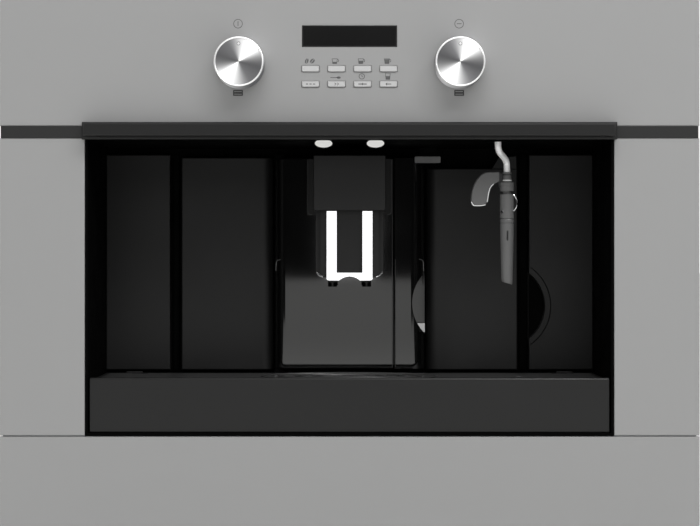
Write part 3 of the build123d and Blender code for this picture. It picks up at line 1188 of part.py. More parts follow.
# ------------------------------------------------------------------ inside
def hopper_vessel(inset):
    """The hopper's outer form taken in by an inset: an upright box over a funnel and a throat."""
    x, depth = (HOPPER_LEFT + inset, HOPPER_RIGHT - inset), (HOPPER_FRONT + inset, HOPPER_BACK - inset)
    mouth_level = HOPPER_TOP - HOPPER_STRAIGHT
    middle = Pos((x[0] + x[1]) / 2, y_at((depth[0] + depth[1]) / 2), mouth_level)
    mouth = middle * Rectangle(x[1] - x[0], depth[1] - depth[0])
    throat_width = (GRINDER_NECK - inset) * 2
    throat = Pos(GRINDER_X, y_at(GRINDER_DEPTH), HOPPER_NECK) * Rectangle(throat_width, throat_width)
    return block(x, depth, (mouth_level, HOPPER_TOP)) + loft([throat, mouth])


def bean_hopper():
    half = GRINDER_NECK - HOPPER_WALL
    x, depth = (GRINDER_X - half, GRINDER_X + half), (GRINDER_DEPTH - half, GRINDER_DEPTH + half)
    hopper = hopper_vessel(0) - hopper_vessel(HOPPER_WALL)
    return [hopper - block(x, depth, (HOPPER_NECK - REACH, HOPPER_NECK + SHEET))]


def grinder_body():
    shoulder = HOPPER_NECK - GRINDER_COLLAR_HEIGHT
    body = post(GRINDER_X, GRINDER_DEPTH, GRINDER_RADIUS, (GRINDER_BOTTOM, shoulder))
    body += post(GRINDER_X, GRINDER_DEPTH, GRINDER_COLLAR, (shoulder, HOPPER_NECK))
    bore_z = (HOPPER_NECK - GRINDER_BORE_DEPTH, HOPPER_NECK + REACH)
    body -= post(GRINDER_X, GRINDER_DEPTH, GRINDER_NECK - HOPPER_WALL, bore_z)
    for foot in range(GRINDER_FEET):
        angle = math.tau * foot / GRINDER_FEET + math.pi / 2
        foot_x = GRINDER_X + GRINDER_FOOT_CIRCLE * math.cos(angle)
        foot_depth = GRINDER_DEPTH + GRINDER_FOOT_CIRCLE * math.sin(angle)
        body += post(foot_x, foot_depth, GRINDER_FOOT_RADIUS, (CASE_FLOOR, GRINDER_BOTTOM))
    chute_x = (GRINDER_X + GRINDER_RADIUS - REACH * 2, BREW_X - BREW_HALF_WIDTH)
    chute_depth = (GRINDER_DEPTH - CHUTE_HALF_WIDTH, GRINDER_DEPTH + CHUTE_HALF_WIDTH)
    chute_top = HOPPER_NECK - CHUTE_DROP
    return [body + block(chute_x, chute_depth, (chute_top - CHUTE_HEIGHT, chute_top))]


def hopper_lid():
    x = (HOPPER_LEFT - LID_OVERLAP, HOPPER_RIGHT + LID_OVERLAP)
    lid_z = (CASE_TOP, CASE_TOP + LID_THICKNESS)
    lid = block(x, (HOPPER_FRONT - LID_OVERLAP, LID_HINGE_DEPTH), lid_z)
    lid = fillet(lid.edges().filter_by(Axis.Z), LID_CORNER)
    (left_ear, left), (right, right_ear) = lid_ears()
    knuckle = (left + LID_PLAY, right - LID_PLAY)
    corner_depth = (LID_HINGE_DEPTH - LID_HINGE_RADIUS * 2, LID_HINGE_DEPTH + REACH)
    for corner_x in ((x[0] - REACH, knuckle[0]), (knuckle[1], x[1] + REACH)):
        lid -= block(corner_x, corner_depth, (lid_z[0] - REACH, lid_z[1] + REACH))
    lid += bar(LID_HINGE_DEPTH, LID_HINGE_LEVEL, LID_HINGE_RADIUS, knuckle)
    lid += bar(LID_HINGE_DEPTH, LID_HINGE_LEVEL, LID_PIN_RADIUS, (left_ear + LID_PLAY, right_ear - LID_PLAY))
    plug_x = (HOPPER_LEFT + LID_EAR, HOPPER_RIGHT - LID_EAR)
    plug_depth = (HOPPER_FRONT + LID_EAR, HOPPER_BACK - LID_EAR * 3)
    return [lid + block(plug_x, plug_depth, (CASE_TOP - LID_EAR, CASE_TOP))]


def brew_frame():
    """Two side plates behind the liner's back wall, which hold the chamber and the screw."""
    wide = (BREW_X - BREW_HALF_WIDTH, BREW_X + BREW_HALF_WIDTH)
    depth = (BEHIND, SCREW_DEPTH + BREW_BACK)
    base_z, cap_z = (BREW_BASE, BREW_BASE + BREW_PLATE), (BREW_CAP - BREW_PLATE, BREW_CAP)
    frame = block(wide, (BREW_DEPTH - BREW_RADIUS, depth[1]), base_z) + block(wide, depth, cap_z)
    for edge in ((wide[0], wide[0] + BREW_SIDE), (wide[1] - BREW_SIDE, wide[1])):
        frame += block(edge, depth, (BREW_BASE, BREW_CAP))
    chamber_z = (CHAMBER_BOTTOM, CHAMBER_TOP)
    frame += post(BREW_X, BREW_DEPTH, BREW_RADIUS, chamber_z)
    frame += block(wide, (BREW_DEPTH - BREW_SIDE, BREW_DEPTH + BREW_SIDE), chamber_z)
    frame -= post(BREW_X, BREW_DEPTH, BREW_BORE, (chamber_z[0] - REACH, chamber_z[1] + REACH))
    for low, high in (base_z, cap_z):
        frame -= post(BREW_X, SCREW_DEPTH, SCREW_END_RADIUS + SHAFT_PLAY, (low - REACH, high + REACH))
    return [frame]


def brew_piston():
    nut_bottom = BREW_BASE + BREW_PLATE + PISTON_NUT_LIFT
    nut_top = nut_bottom + PISTON_NUT_HEIGHT
    crown = CHAMBER_BOTTOM - PISTON_OUTSIDE
    piston = post(BREW_X, BREW_DEPTH, BREW_BORE - PISTON_PLAY, (crown, crown + PISTON_HEIGHT))
    piston += post(BREW_X, BREW_DEPTH, PISTON_ROD, (nut_bottom, crown))
    nut_x = (BREW_X - PISTON_NUT_HALF, BREW_X + PISTON_NUT_HALF)
    nut_depth = (BREW_DEPTH - PISTON_NUT_HALF, SCREW_DEPTH + PISTON_NUT_BACK)
    piston += block(nut_x, nut_depth, (nut_bottom, nut_top))
    thread_z = (nut_bottom - REACH, nut_top + REACH)
    return [piston - post(BREW_X, SCREW_DEPTH, SCREW_RADIUS + PISTON_PLAY, thread_z)]


def drive_screw():
    thread_z = (BREW_BASE + BREW_PLATE + SCREW_END_PLAY, BREW_CAP - BREW_PLATE - SCREW_END_PLAY)
    wheel_top = BREW_BASE - SCREW_WHEEL_GAP
    screw = post(BREW_X, SCREW_DEPTH, SCREW_RADIUS, thread_z)
    screw += post(BREW_X, SCREW_DEPTH, SCREW_END_RADIUS, (wheel_top, BREW_CAP + SCREW_CAP_REACH))
    wheel_z = (wheel_top - SCREW_WHEEL_HEIGHT, wheel_top)
    return [screw + post(BREW_X, SCREW_DEPTH, SCREW_WHEEL_RADIUS, wheel_z)]


def thermoblock():
    body = block((BOILER_LEFT, BOILER_RIGHT), (BOILER_FRONT, BOILER_BACK), (BOILER_BOTTOM, BOILER_TOP))
    body = fillet(body.edges().filter_by(Axis.Z), BOILER_CORNER)
    for x in (BOILER_LEFT + BOILER_FOOT_INSET, BOILER_RIGHT - BOILER_FOOT_INSET):
        for depth in (BOILER_FRONT + BOILER_FOOT_INSET, BOILER_BACK - BOILER_FOOT_INSET):
            body += post(x, depth, BOILER_FOOT_RADIUS, (CASE_FLOOR, BOILER_BOTTOM))
    for depth in (BOILER_FRONT + NIPPLE_INSET, BOILER_BACK - NIPPLE_INSET):
        body += post(BOILER_X, depth, NIPPLE_RADIUS, (BOILER_TOP, NIPPLE_TOP))
    return [body]


def pump():
    shoulder = PUMP_RIGHT - PUMP_NECK_LENGTH
    body = bar(PUMP_DEPTH, PUMP_LEVEL, PUMP_RADIUS, (PUMP_LEFT, shoulder))
    body += bar(PUMP_DEPTH, PUMP_LEVEL, PUMP_NECK_RADIUS, (shoulder, PUMP_RIGHT))
    body += bar(PUMP_DEPTH, PUMP_LEVEL, PUMP_PORT_RADIUS, (PUMP_LEFT - PUMP_PORT_LENGTH, PUMP_LEFT))
    saddle_depth = (PUMP_DEPTH - PUMP_RADIUS, PUMP_DEPTH + PUMP_RADIUS)
    for x in (PUMP_LEFT + PUMP_SADDLE_INSET, shoulder - PUMP_SADDLE_INSET - PUMP_SADDLE):
        body += block((x, x + PUMP_SADDLE), saddle_depth, (CASE_FLOOR, PUMP_LEVEL))
    return [body]


def water_pipes():
    """Hoses from the tank to the pump, to the boiler, and on to the wand."""
    tank_x = (TANK_LEFT + TANK_RIGHT) / 2
    bay_back = y_at(TANK_BACK + TANK_SIDE_PLAY * 2 + LINER)
    outlet = INNER_BOTTOM + HOSE_OUTLET_RISE
    low_y, pump_y = bay_back + HOSE_RUN, y_at(PUMP_DEPTH)
    suction_x = PUMP_RIGHT + HOSE_PUMP_RUN
    suction = [
        (tank_x, bay_back, outlet), (tank_x, low_y, outlet), (tank_x, low_y, PUMP_LEVEL),
        (suction_x, low_y, PUMP_LEVEL), (suction_x, pump_y, PUMP_LEVEL), (PUMP_RIGHT, pump_y, PUMP_LEVEL),
    ]
    port_x = PUMP_LEFT - PUMP_PORT_LENGTH
    side_x, wall_y = port_x - HOSE_SIDE_RUN, y_at(CASE_DEPTH - HOSE_WALL_GAP)
    high, inlet_y = NIPPLE_TOP + HOSE_HIGH_RISE, y_at(BOILER_BACK - NIPPLE_INSET)
    pressure = [
        (port_x, pump_y, PUMP_LEVEL), (side_x, pump_y, PUMP_LEVEL), (side_x, wall_y, PUMP_LEVEL),
        (side_x, wall_y, high), (BOILER_X, wall_y, high),
        (BOILER_X, inlet_y, high), (BOILER_X, inlet_y, NIPPLE_TOP),
    ]
    steam_y, wand_y = y_at(BOILER_FRONT + NIPPLE_INSET), y_at(WAND_DEPTH)
    steam_level = TURRET_TOP + HOSE_OUTLET_RISE
    steam = [
        (BOILER_X, steam_y, NIPPLE_TOP), (BOILER_X, steam_y, steam_level), (WAND_X, steam_y, steam_level),
        (WAND_X, wand_y, steam_level), (WAND_X, wand_y, TURRET_TOP + HOSE_END_GAP),
    ]
    routes = ((suction, HOSE_BEND), (pressure, HOSE_BEND), (steam, STEAM_BEND))
    return [tube(route, bend, HOSE_RADIUS) for route, bend in routes]


def mains_inlet():
    """The inlet socket and, beside it, the frame of the mains switch."""
    inner_face = CASE_DEPTH - SHEET
    depth = (inner_face - SOCKET_DEPTH, CASE_DEPTH)
    floor = depth[0] + INLET_FLOOR
    flange = (CASE_DEPTH, CASE_DEPTH + SOCKET_FLANGE)
    socket = block(*inlet_limits(INLET_WIDTH, INLET_HEIGHT, depth))
    socket += block(*inlet_limits(INLET_WIDTH + INLET_EARS * 2, INLET_HEIGHT + INLET_RIM * 2, flange))
    bore = (INLET_WIDTH - INLET_WALL * 2, INLET_HEIGHT - INLET_WALL * 2)
    socket -= block(*inlet_limits(*bore, (floor, flange[1] + REACH)))
    for shift, rise in ((-BLADE_SPACING, -BLADE_RISE), (0, BLADE_RISE), (BLADE_SPACING, -BLADE_RISE)):
        x, z = INLET_X + shift, INLET_LEVEL + rise
        blade_x = (x - BLADE_THICKNESS / 2, x + BLADE_THICKNESS / 2)
        blade_z = (z - BLADE_HEIGHT / 2, z + BLADE_HEIGHT / 2)
        socket += block(blade_x, (floor, CASE_DEPTH - BLADE_SET_BACK), blade_z)
    frame_depth = (inner_face - SWITCH_DEPTH, CASE_DEPTH)
    rim_depth = (CASE_DEPTH, CASE_DEPTH + SWITCH_FLANGE)
    frame = block(*switch_limits(SWITCH_WIDTH, SWITCH_HEIGHT, frame_depth))
    frame += block(*switch_limits(SWITCH_WIDTH + SWITCH_RIM * 2, SWITCH_HEIGHT + SWITCH_RIM * 2, rim_depth))
    inner = (SWITCH_WIDTH - SWITCH_WALL * 2, SWITCH_HEIGHT - SWITCH_WALL * 2)
    frame -= block(*switch_limits(*inner, (frame_depth[0] - REACH, rim_depth[1] + REACH)))
    reach = SWITCH_WIDTH / 2 + SWITCH_RIM / 2
    pin_x = (SWITCH_X - reach, SWITCH_X + reach)
    frame -= bar(CASE_DEPTH - SWITCH_PIVOT, INLET_LEVEL, SWITCH_PIN_RADIUS + HINGE_PLAY, pin_x)
    return [socket, frame]


def mains_switch():
    """The rocker, tipped to its off side; it turns on two stub pins in the switch's frame."""
    half_width = SWITCH_WIDTH / 2 - SWITCH_WALL - SWITCH_PLAY
    half_height = SWITCH_HEIGHT / 2 - SWITCH_WALL - SWITCH_PLAY * 2
    dip = half_height * math.tan(math.radians(SWITCH_ROCK))
    front, back = SWITCH_PIVOT, SWITCH_PIVOT - ROCKER_DEPTH
    corners = [
        (back, ROCKER_TAPER - half_height), (front, -half_height), (front - dip / 2, 0),
        (front, half_height), (back, half_height - ROCKER_TAPER),
    ]
    side = Plane.YZ * make_face(Polyline(*corners, close=True))
    rocker = Pos(-half_width, 0, 0) * extrude(side, half_width * 2)
    pins = Rot(0, 90, 0) * Cylinder(SWITCH_PIN_RADIUS, SWITCH_WIDTH - SWITCH_WALL)
    place = Pos(SWITCH_X, y_at(CASE_DEPTH - SWITCH_PIVOT), INLET_LEVEL) * Rot(-SWITCH_ROCK, 0, 0)
    return [place * (rocker + pins)]


def case_screws():
    """The screws of the back panel and the top cover, as separate heads."""
    low, high = CASE_BOTTOM + FLANGE, CASE_TOP - FLANGE
    side = CASE_HALF - FLANGE
    head_depth = (CASE_DEPTH, CASE_DEPTH + SCREW_HEAD_HEIGHT)
    recess_depth = (head_depth[1] - SCREW_RECESS_DEPTH, head_depth[1] + REACH)
    screws = []
    for x in (-side, 0, side):
        for z in (low, (low + high) / 2, high):
            head = rod(x, z, SCREW_HEAD_RADIUS, head_depth)
            screws.append(head - rod(x, z, SCREW_RECESS_RADIUS, recess_depth))
    head_z = (CASE_TOP, CASE_TOP + SCREW_HEAD_HEIGHT)
    for x in (-side, side):
        for depth in (FRAME_DEPTH + FLANGE * 2, CASE_DEPTH - FLANGE * 2):
            screws.append(post(x, depth, SCREW_HEAD_RADIUS, head_z))
    return screws


# ------------------------------------------------------------------ every piece under its name
def pieces():
    """Every node's name with its solids."""
    found = {
        "cabinet_rails": cabinet_rails(),
        "middle_rails": middle_rails(),
        "machine_rails": machine_rails(),
        "chassis_base": chassis_base(),
        "right_side_panel": [side_panel()],
        "left_side_panel": [mirrored(side_panel())],
        "back_panel": back_panel(),
        "top_cover": top_cover(),
        "front_frame": front_frame(),
        "control_panel": control_panel(),
        "column_panels": column_panels(),
        "bottom_panel": bottom_panel(),
        "trim_strip": trim_strip(),
        "pull_handle": pull_handle(),
        "display_window": display_window(),
        "control_board": control_board(),
        "rotary_switches": rotary_switches(),
        "left_knob": knob_at(-1),
        "right_knob": knob_at(1),
        "recess_liner": recess_liner(),
        "lamp_lenses": lamp_lenses(),
        "left_outer_panel": left_outer_panel(),
        "left_inner_panel": left_inner_panel(),
        "right_outer_panel": right_outer_panel(),
        "gap_strips": gap_strips(),
        "centre_trim": centre_trim(),
        "service_door": service_door(),
        "spout_cover": spout_cover(),
        "spout_slider": spout_slider(),
        "spout_face": spout_face(),
        "tank_front": tank_front(),
        "water_tank": water_tank(),
        "drip_tray": drip_tray(),
        "cup_grille": cup_grille(),
        "tray_float": tray_float(),
        "grounds_container": grounds_container(),
        "wand_yoke": wand_yoke(),
        "steam_pipe": steam_pipe(),
        "wand_grip": wand_grip(),
        "frother_sleeve": frother_sleeve(),
        "bean_hopper": bean_hopper(),
        "hopper_lid": hopper_lid(),
        "grinder_body": grinder_body(),
        "brew_frame": brew_frame(),
        "brew_piston": brew_piston(),
        "drive_screw": drive_screw(),
        "thermoblock": thermoblock(),
        "pump": pump(),
        "water_pipes": water_pipes(),
        "mains_inlet": mains_inlet(),
        "mains_switch": mains_switch(),
        "case_screws": case_screws(),
    }
    for name, (x, z) in button_centres().items():
        found[name] = button(x, z)
    return found


def write(name, solids):
    """Write one node to its STEP file."""
    loose = [solid for shape in solids for solid in shape.solids()]
    shape = loose[0] if len(loose) == 1 else Compound(children=loose)
    export_step(shape, f"parts/{name}.step")


os.makedirs("parts", exist_ok=True)
for node, shapes in pieces().items():
    write(node, shapes)
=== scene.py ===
# %% [markdown]
# # A built in coffee machine
# The real machine is a steel box with a lacquered front, set into a kitchen cabinet. Its solid parts
# come ready made from the CAD model, in metres, and are only given their finish here. What CAD leaves
# plain, such as printed signs, bright edges and the steam wand, is added piece by piece.

# %% Load the machine
import json
import math

import bmesh
import bpy
from mathutils import Matrix, Vector

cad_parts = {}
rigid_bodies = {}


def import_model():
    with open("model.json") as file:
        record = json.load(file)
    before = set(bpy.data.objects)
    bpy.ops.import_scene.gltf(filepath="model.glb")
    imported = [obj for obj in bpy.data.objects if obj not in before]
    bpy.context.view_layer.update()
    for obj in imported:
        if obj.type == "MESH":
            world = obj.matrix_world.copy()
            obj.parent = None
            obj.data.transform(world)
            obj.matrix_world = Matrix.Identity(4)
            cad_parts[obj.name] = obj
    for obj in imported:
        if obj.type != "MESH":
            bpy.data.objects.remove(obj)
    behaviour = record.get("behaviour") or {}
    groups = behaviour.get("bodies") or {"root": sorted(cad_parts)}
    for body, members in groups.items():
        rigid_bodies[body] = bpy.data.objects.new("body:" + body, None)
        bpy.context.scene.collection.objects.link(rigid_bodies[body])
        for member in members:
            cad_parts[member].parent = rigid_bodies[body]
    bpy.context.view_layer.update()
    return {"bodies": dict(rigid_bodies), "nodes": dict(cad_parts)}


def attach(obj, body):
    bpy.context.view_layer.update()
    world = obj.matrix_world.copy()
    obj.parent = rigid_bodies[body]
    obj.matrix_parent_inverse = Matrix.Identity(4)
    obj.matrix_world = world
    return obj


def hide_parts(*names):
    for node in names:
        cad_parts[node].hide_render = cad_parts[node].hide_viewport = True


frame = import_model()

kept = set(frame["nodes"].values()) | set(frame["bodies"].values())
for spare in [thing for thing in bpy.data.objects if thing not in kept]:
    bpy.data.objects.remove(spare)

# %% [markdown]
# ## Millimetres and depths
# A drawing of an appliance gives sizes in millimetres and depths behind its front panels. One function
# turns such a place into Blender's metres, so that every number below can be checked with a ruler.

# %% Places
MM = 0.001
FRONT_Y = -0.181


def at(x, depth, z):
    """The place that lies x to the right, depth behind the front panels and z up, in millimetres."""
    return Vector((x * MM, FRONT_Y + depth * MM, z * MM))


print("the front panels stand at y =", at(0, 0, 0).y)

# %% [markdown]
# ## The camera
# The machine was photographed straight from the front with a long lens, level with the middle of its
# opening, so that the front fills the picture and its edges stay square. The Standard view shows each
# colour as it is written.

# %% Camera
lens = bpy.data.cameras.new("long_lens")
lens.lens = 98
lens.sensor_width = 36
camera = bpy.data.objects.new("front_camera", lens)
camera.location = at(0.4, -1620, 227.6)
camera.rotation_euler = (math.radians(90), 0, 0)
bpy.context.scene.collection.objects.link(camera)
bpy.context.scene.camera = camera
bpy.context.scene.view_settings.view_transform = "Standard"
print("camera at", tuple(round(place, 3) for place in camera.location))

# %% [markdown]
# ## Colours and nodes
# Colours are written as they look on a screen and turned to the linear values that light adds up in.
# One small function adds any node, because a finish is easier to read as a list of nodes than as clicks.


# %% Colour and node helpers
def linear(colour):
    """Linear red, green, blue and alpha of an sRGB hex colour."""
    parts = [int(colour[start:start + 2], 16) / 255 for start in (1, 3, 5)]
    return tuple(c / 12.92 if c <= 0.04045 else ((c + 0.055) / 1.055) ** 2.4 for c in parts) + (1.0,)


def node(tree, kind, values={}, links={}):
    """Add a node. Values set it or its sockets; links feed sockets from a node's first output or another."""
    made = tree.nodes.new(kind)
    for key, value in values.items():
        if isinstance(key, str) and hasattr(made, key):
            setattr(made, key, value)
        else:
            made.inputs[key].default_value = value
    for key, source in links.items():
        tree.links.new(source.outputs[0] if hasattr(source, "outputs") else source, made.inputs[key])
    return made


def finish(name, colour, **sockets):
    """A new material with its base colour; underscores in a socket's name stand for spaces."""
    made = bpy.data.materials.new(name)
    made.use_nodes = True
    shader = made.node_tree.nodes["Principled BSDF"]
    shader.inputs["Base Color"].default_value = linear(colour)
    for socket, value in sockets.items():
        shader.inputs[socket.replace("_", " ")].default_value = value
    return made


print("mid grey in linear light:", round(linear("#808080")[0], 3))

# %% [markdown]
# ## What every made surface has
# No moulded, painted or rolled surface is the same all over. It has a fine grain from the mould or the
# spray gun, and broad patches that are a little duller or darker. Both are noise. A noise's scale counts
# its waves per metre, so 1000 divided by a size in millimetres gives it.


# %% Uneven surfaces
def uneven(made, grain_mm, height_mm, gloss, tones=None, patch_mm=40, stretch=(1, 1, 1)):
    """Give a finish a fine grain, uneven gloss and, between two tones, an uneven colour."""
    tree = made.node_tree
    shader = tree.nodes["Principled BSDF"]
    place = node(tree, "ShaderNodeTexCoord").outputs["Object"]
    drawn = node(tree, "ShaderNodeMapping", {"Scale": stretch}, {"Vector": place})
    fine = node(tree, "ShaderNodeTexNoise", {"Scale": 1000 / grain_mm, "Detail": 2}, {"Vector": drawn})
    bump = node(tree, "ShaderNodeBump", {"Strength": 0.6, "Distance": height_mm * MM}, {"Height": fine})
    tree.links.new(bump.outputs["Normal"], shader.inputs["Normal"])
    broad = node(tree, "ShaderNodeTexNoise", {"Scale": 1000 / patch_mm, "Detail": 3}, {"Vector": drawn})
    span = {"From Min": 0.3, "From Max": 0.7, "To Min": gloss[0], "To Max": gloss[1]}
    rough = node(tree, "ShaderNodeMapRange", span, {"Value": broad})
    tree.links.new(rough.outputs["Result"], shader.inputs["Roughness"])
    if tones:
        both = {"data_type": "RGBA", 6: linear(tones[0]), 7: linear(tones[1])}
        mixed = node(tree, "ShaderNodeMix", both, {0: broad})
        tree.links.new(mixed.outputs[2], shader.inputs["Base Color"])
    return made


print("a grain of 0.5 mm is noise at scale", 1000 / 0.5)

# %% [markdown]
# ## Front lacquer
# The front panels are steel sheet, sprayed with a stone grey lacquer and baked. Sprayed lacquer dries
# with orange peel, waves of about a millimetre that only show in the highlights. Lacquer has an IOR
# near 1.5 and a satin gloss.

# %% Lacquered steel
lacquered_steel = uneven(
    finish("lacquered_steel_sheet", "#A0A0A0", IOR=1.5), 1.4, 0.004, (0.42, 0.48),
    ("#A1A1A1", "#9F9F9F"), 90,
)
print("front:", lacquered_steel.name)

# %% [markdown]
# ## Graphite lacquer
# The trim strip and the pull handle are drawn aluminium under a dark satin lacquer. The lines of the
# drawing die run along the profile, so the grain is stretched sideways. The strip is a lit copy of the
# handle's lacquer, painted a shade lighter as painted light, because it lies flat in the light. Its low
# specular level keeps both dark under a pale sky.

# %% Lacquered aluminium
ALONG_THE_PROFILE = (0.04, 1, 1)
graphite_lacquer = uneven(
    finish("graphite_lacquered_aluminium", "#222222", IOR=1.5, Specular_IOR_Level=0.22),
    0.5, 0.006, (0.36, 0.44), ("#242424", "#202020"), 60, ALONG_THE_PROFILE,
)
# Painted light: the handle's lacquer a shade lighter, for a strip that lies flat in the light.
strip_lacquer_painted_lighter = uneven(
    finish("graphite_lacquered_strip", "#303030", IOR=1.5, Specular_IOR_Level=0.22),
    0.5, 0.006, (0.36, 0.44), ("#323232", "#2E2E2E"), 60, ALONG_THE_PROFILE,
)
print("handle and strip:", graphite_lacquer.name, strip_lacquer_painted_lighter.name)

# %% [markdown]
# ## Turned aluminium
# A knob's face is cut on a lathe. The tool leaves rings that are finer than a hair, and each ring
# mirrors the lamps only where it lies across them, which draws the bright bow tie. The shader's
# anisotropy does that with a tangent that runs around the axis. The chamfer is polished, so it shines.

# %% Turned aluminium
turned_aluminium = finish(
    "turned_aluminium", "#C8C8CA", Metallic=1.0, Roughness=0.5, Anisotropic=0.85, Anisotropic_Rotation=0.25
)
tree = turned_aluminium.node_tree
shader = tree.nodes["Principled BSDF"]
around = node(tree, "ShaderNodeTangent", {"direction_type": "RADIAL", "axis": "Y"})
tree.links.new(around.outputs["Tangent"], shader.inputs["Tangent"])
polished_rim = uneven(
    finish("polished_aluminium_chamfer", "#FFFFFF", Metallic=1.0), 0.6, 0.001, (0.34, 0.42),
    ("#FFFFFF", "#F8F8F8"), 6,
)
print("knobs:", turned_aluminium.name, polished_rim.name)

# %% [markdown]
# ## Painted bow tie and rings
# A painted highlight deepens the bow tie, as in a darker studio: a tone in the base colour that follows
# the angle around the axis and stays with the room and not with the knob. The angle and the radius are
# worked out from where a point lies beside the nearer knob's axis. The rings that show, 0.4 mm apart, are
# coarser than the real ones.

# %% Painted bow tie and rings
KNOB_X, KNOB_Z = 92.9, 396.4
BOW_TIE_TILT = math.radians(52)
RING_MM = 0.4
place = node(tree, "ShaderNodeNewGeometry").outputs["Position"]
axes = node(tree, "ShaderNodeSeparateXYZ", {}, {"Vector": place})
side = node(tree, "ShaderNodeMath", {"operation": "SIGN"}, {0: axes.outputs["X"]})
across = node(
    tree, "ShaderNodeMath", {"operation": "MULTIPLY_ADD", 1: -KNOB_X * MM}, {0: side, 2: axes.outputs["X"]}
)
upward = node(tree, "ShaderNodeMath", {"operation": "SUBTRACT", 1: KNOB_Z * MM}, {0: axes.outputs["Z"]})
flat = node(tree, "ShaderNodeCombineXYZ", {}, {"X": across, "Z": upward})
radius = node(tree, "ShaderNodeVectorMath", {"operation": "LENGTH"}, {0: flat})
angle = node(tree, "ShaderNodeMath", {"operation": "ARCTAN2"}, {0: upward, 1: across})
doubled = node(
    tree, "ShaderNodeMath", {"operation": "MULTIPLY_ADD", 1: 2.0, 2: -2 * BOW_TIE_TILT}, {0: angle}
)
wave = node(tree, "ShaderNodeMath", {"operation": "COSINE"}, {0: doubled})
fan = node(tree, "ShaderNodeMapRange", {"From Min": -0.8, "From Max": 1.0}, {"Value": wave})
bow = node(tree, "ShaderNodeMath", {"operation": "POWER", 1: 1.4}, {0: fan})
rings = node(
    tree, "ShaderNodeTexNoise", {"noise_dimensions": "1D", "Scale": 1000 / RING_MM, "Detail": 3},
    {"W": radius.outputs["Value"]},
)
# Painted highlight: the bow tie's light and shade in the base colour, from grey to white.
tone = node(
    tree, "ShaderNodeMix", {"data_type": "RGBA", 6: linear("#828284"), 7: linear("#FFFFFF")}, {0: bow}
)
ringed = node(
    tree, "ShaderNodeMix", {"data_type": "RGBA", "blend_type": "MULTIPLY", 0: 0.12},
    {6: tone.outputs[2], 7: rings.outputs["Color"]},
)
tree.links.new(ringed.outputs[2], shader.inputs["Base Color"])
cut = node(tree, "ShaderNodeBump", {"Strength": 0.2, "Distance": 0.01 * MM}, {"Height": rings})
tree.links.new(cut.outputs["Normal"], shader.inputs["Normal"])
print("rings", RING_MM, "mm apart")

# %% [markdown]
# ## Chrome and zinc
# Chrome plate is a mirror with a faint haze. The steam pipe is chrome too, but its shine is a painted
# highlight: a white base colour with a low metallic value, so that the pipe looks white. Zinc plated
# rails and screws are duller, with the cloudy blue of their passivation.

# %% Chrome and zinc
chrome_plate = uneven(finish("chrome_plate", "#EDEDEF", Metallic=1.0), 6, 0.001, (0.02, 0.04), None, 25)
# Painted highlight: the pipe's white base colour stands for the lamps' shine on it.
pipe_painted_white = uneven(finish("satin_chrome_painted_white", "#FFFFFF", Metallic=0.15), 2, 0.001, (0.3, 0.36), None, 25)
zinc_plate = uneven(
    finish("zinc_plated_steel", "#A9ADB3", Metallic=1.0), 0.8, 0.003, (0.3, 0.45),
    ("#B3B6BA", "#9DA3AD"), 30,
)
print("metals:", chrome_plate.name, pipe_painted_white.name, zinc_plate.name)

# %% [markdown]
# ## Galvanised sheet
# The case is folded from steel that was dipped in zinc. The zinc freezes in flat crystals 8 to 15 mm
# wide, each with its own shade and shine, which Voronoi cells copy well. A noise with waves of 9 mm
# pushes their borders about, because crystals don't grow straight.

# %% Galvanised steel
CRYSTAL_MM, BORDER_WAVE_MM, BORDER_PUSH_MM = 12, 9, 6
galvanised_steel = finish("galvanised_steel_sheet", "#9EA2A5", Metallic=1.0)
tree = galvanised_steel.node_tree
shader = tree.nodes["Principled BSDF"]
place = node(tree, "ShaderNodeTexCoord").outputs["Object"]
ragged = node(tree, "ShaderNodeTexNoise", {"Scale": 1000 / BORDER_WAVE_MM, "Detail": 2}, {"Vector": place})
pushed = node(
    tree, "ShaderNodeVectorMath", {"operation": "MULTIPLY_ADD", 1: (BORDER_PUSH_MM * MM,) * 3},
    {0: ragged.outputs["Color"], 2: place},
)
crystals = node(tree, "ShaderNodeTexVoronoi", {"Scale": 1000 / CRYSTAL_MM}, {"Vector": pushed})
shade = node(tree, "ShaderNodeRGBToBW", {}, {"Color": crystals.outputs["Color"]})
tone = node(
    tree, "ShaderNodeMix", {"data_type": "RGBA", 6: linear("#999DA0"), 7: linear("#AEB2B5")}, {0: shade}
)
tree.links.new(tone.outputs[2], shader.inputs["Base Color"])
rough = node(tree, "ShaderNodeMapRange", {"To Min": 0.36, "To Max": 0.48}, {"Value": shade})
tree.links.new(rough.outputs["Result"], shader.inputs["Roughness"])
print("case:", galvanised_steel.name)

# %% [markdown]
# ## Black and grey plastics
# The opening is lined with black moulded ABS, with an IOR near 1.5. The liner's mould is spark eroded,
# which leaves a fine matt grain. Its colour and specular level are set darker than black ABS, as painted
# shade of the deep opening. The inner panels are satin. The service door is high gloss and mirrors what
# stands in front of it, so strongly that its IOR is set above that of ABS.
# The spout slides on POM, which looks waxy. The drip tray is satin graphite, its grille a lighter grey.

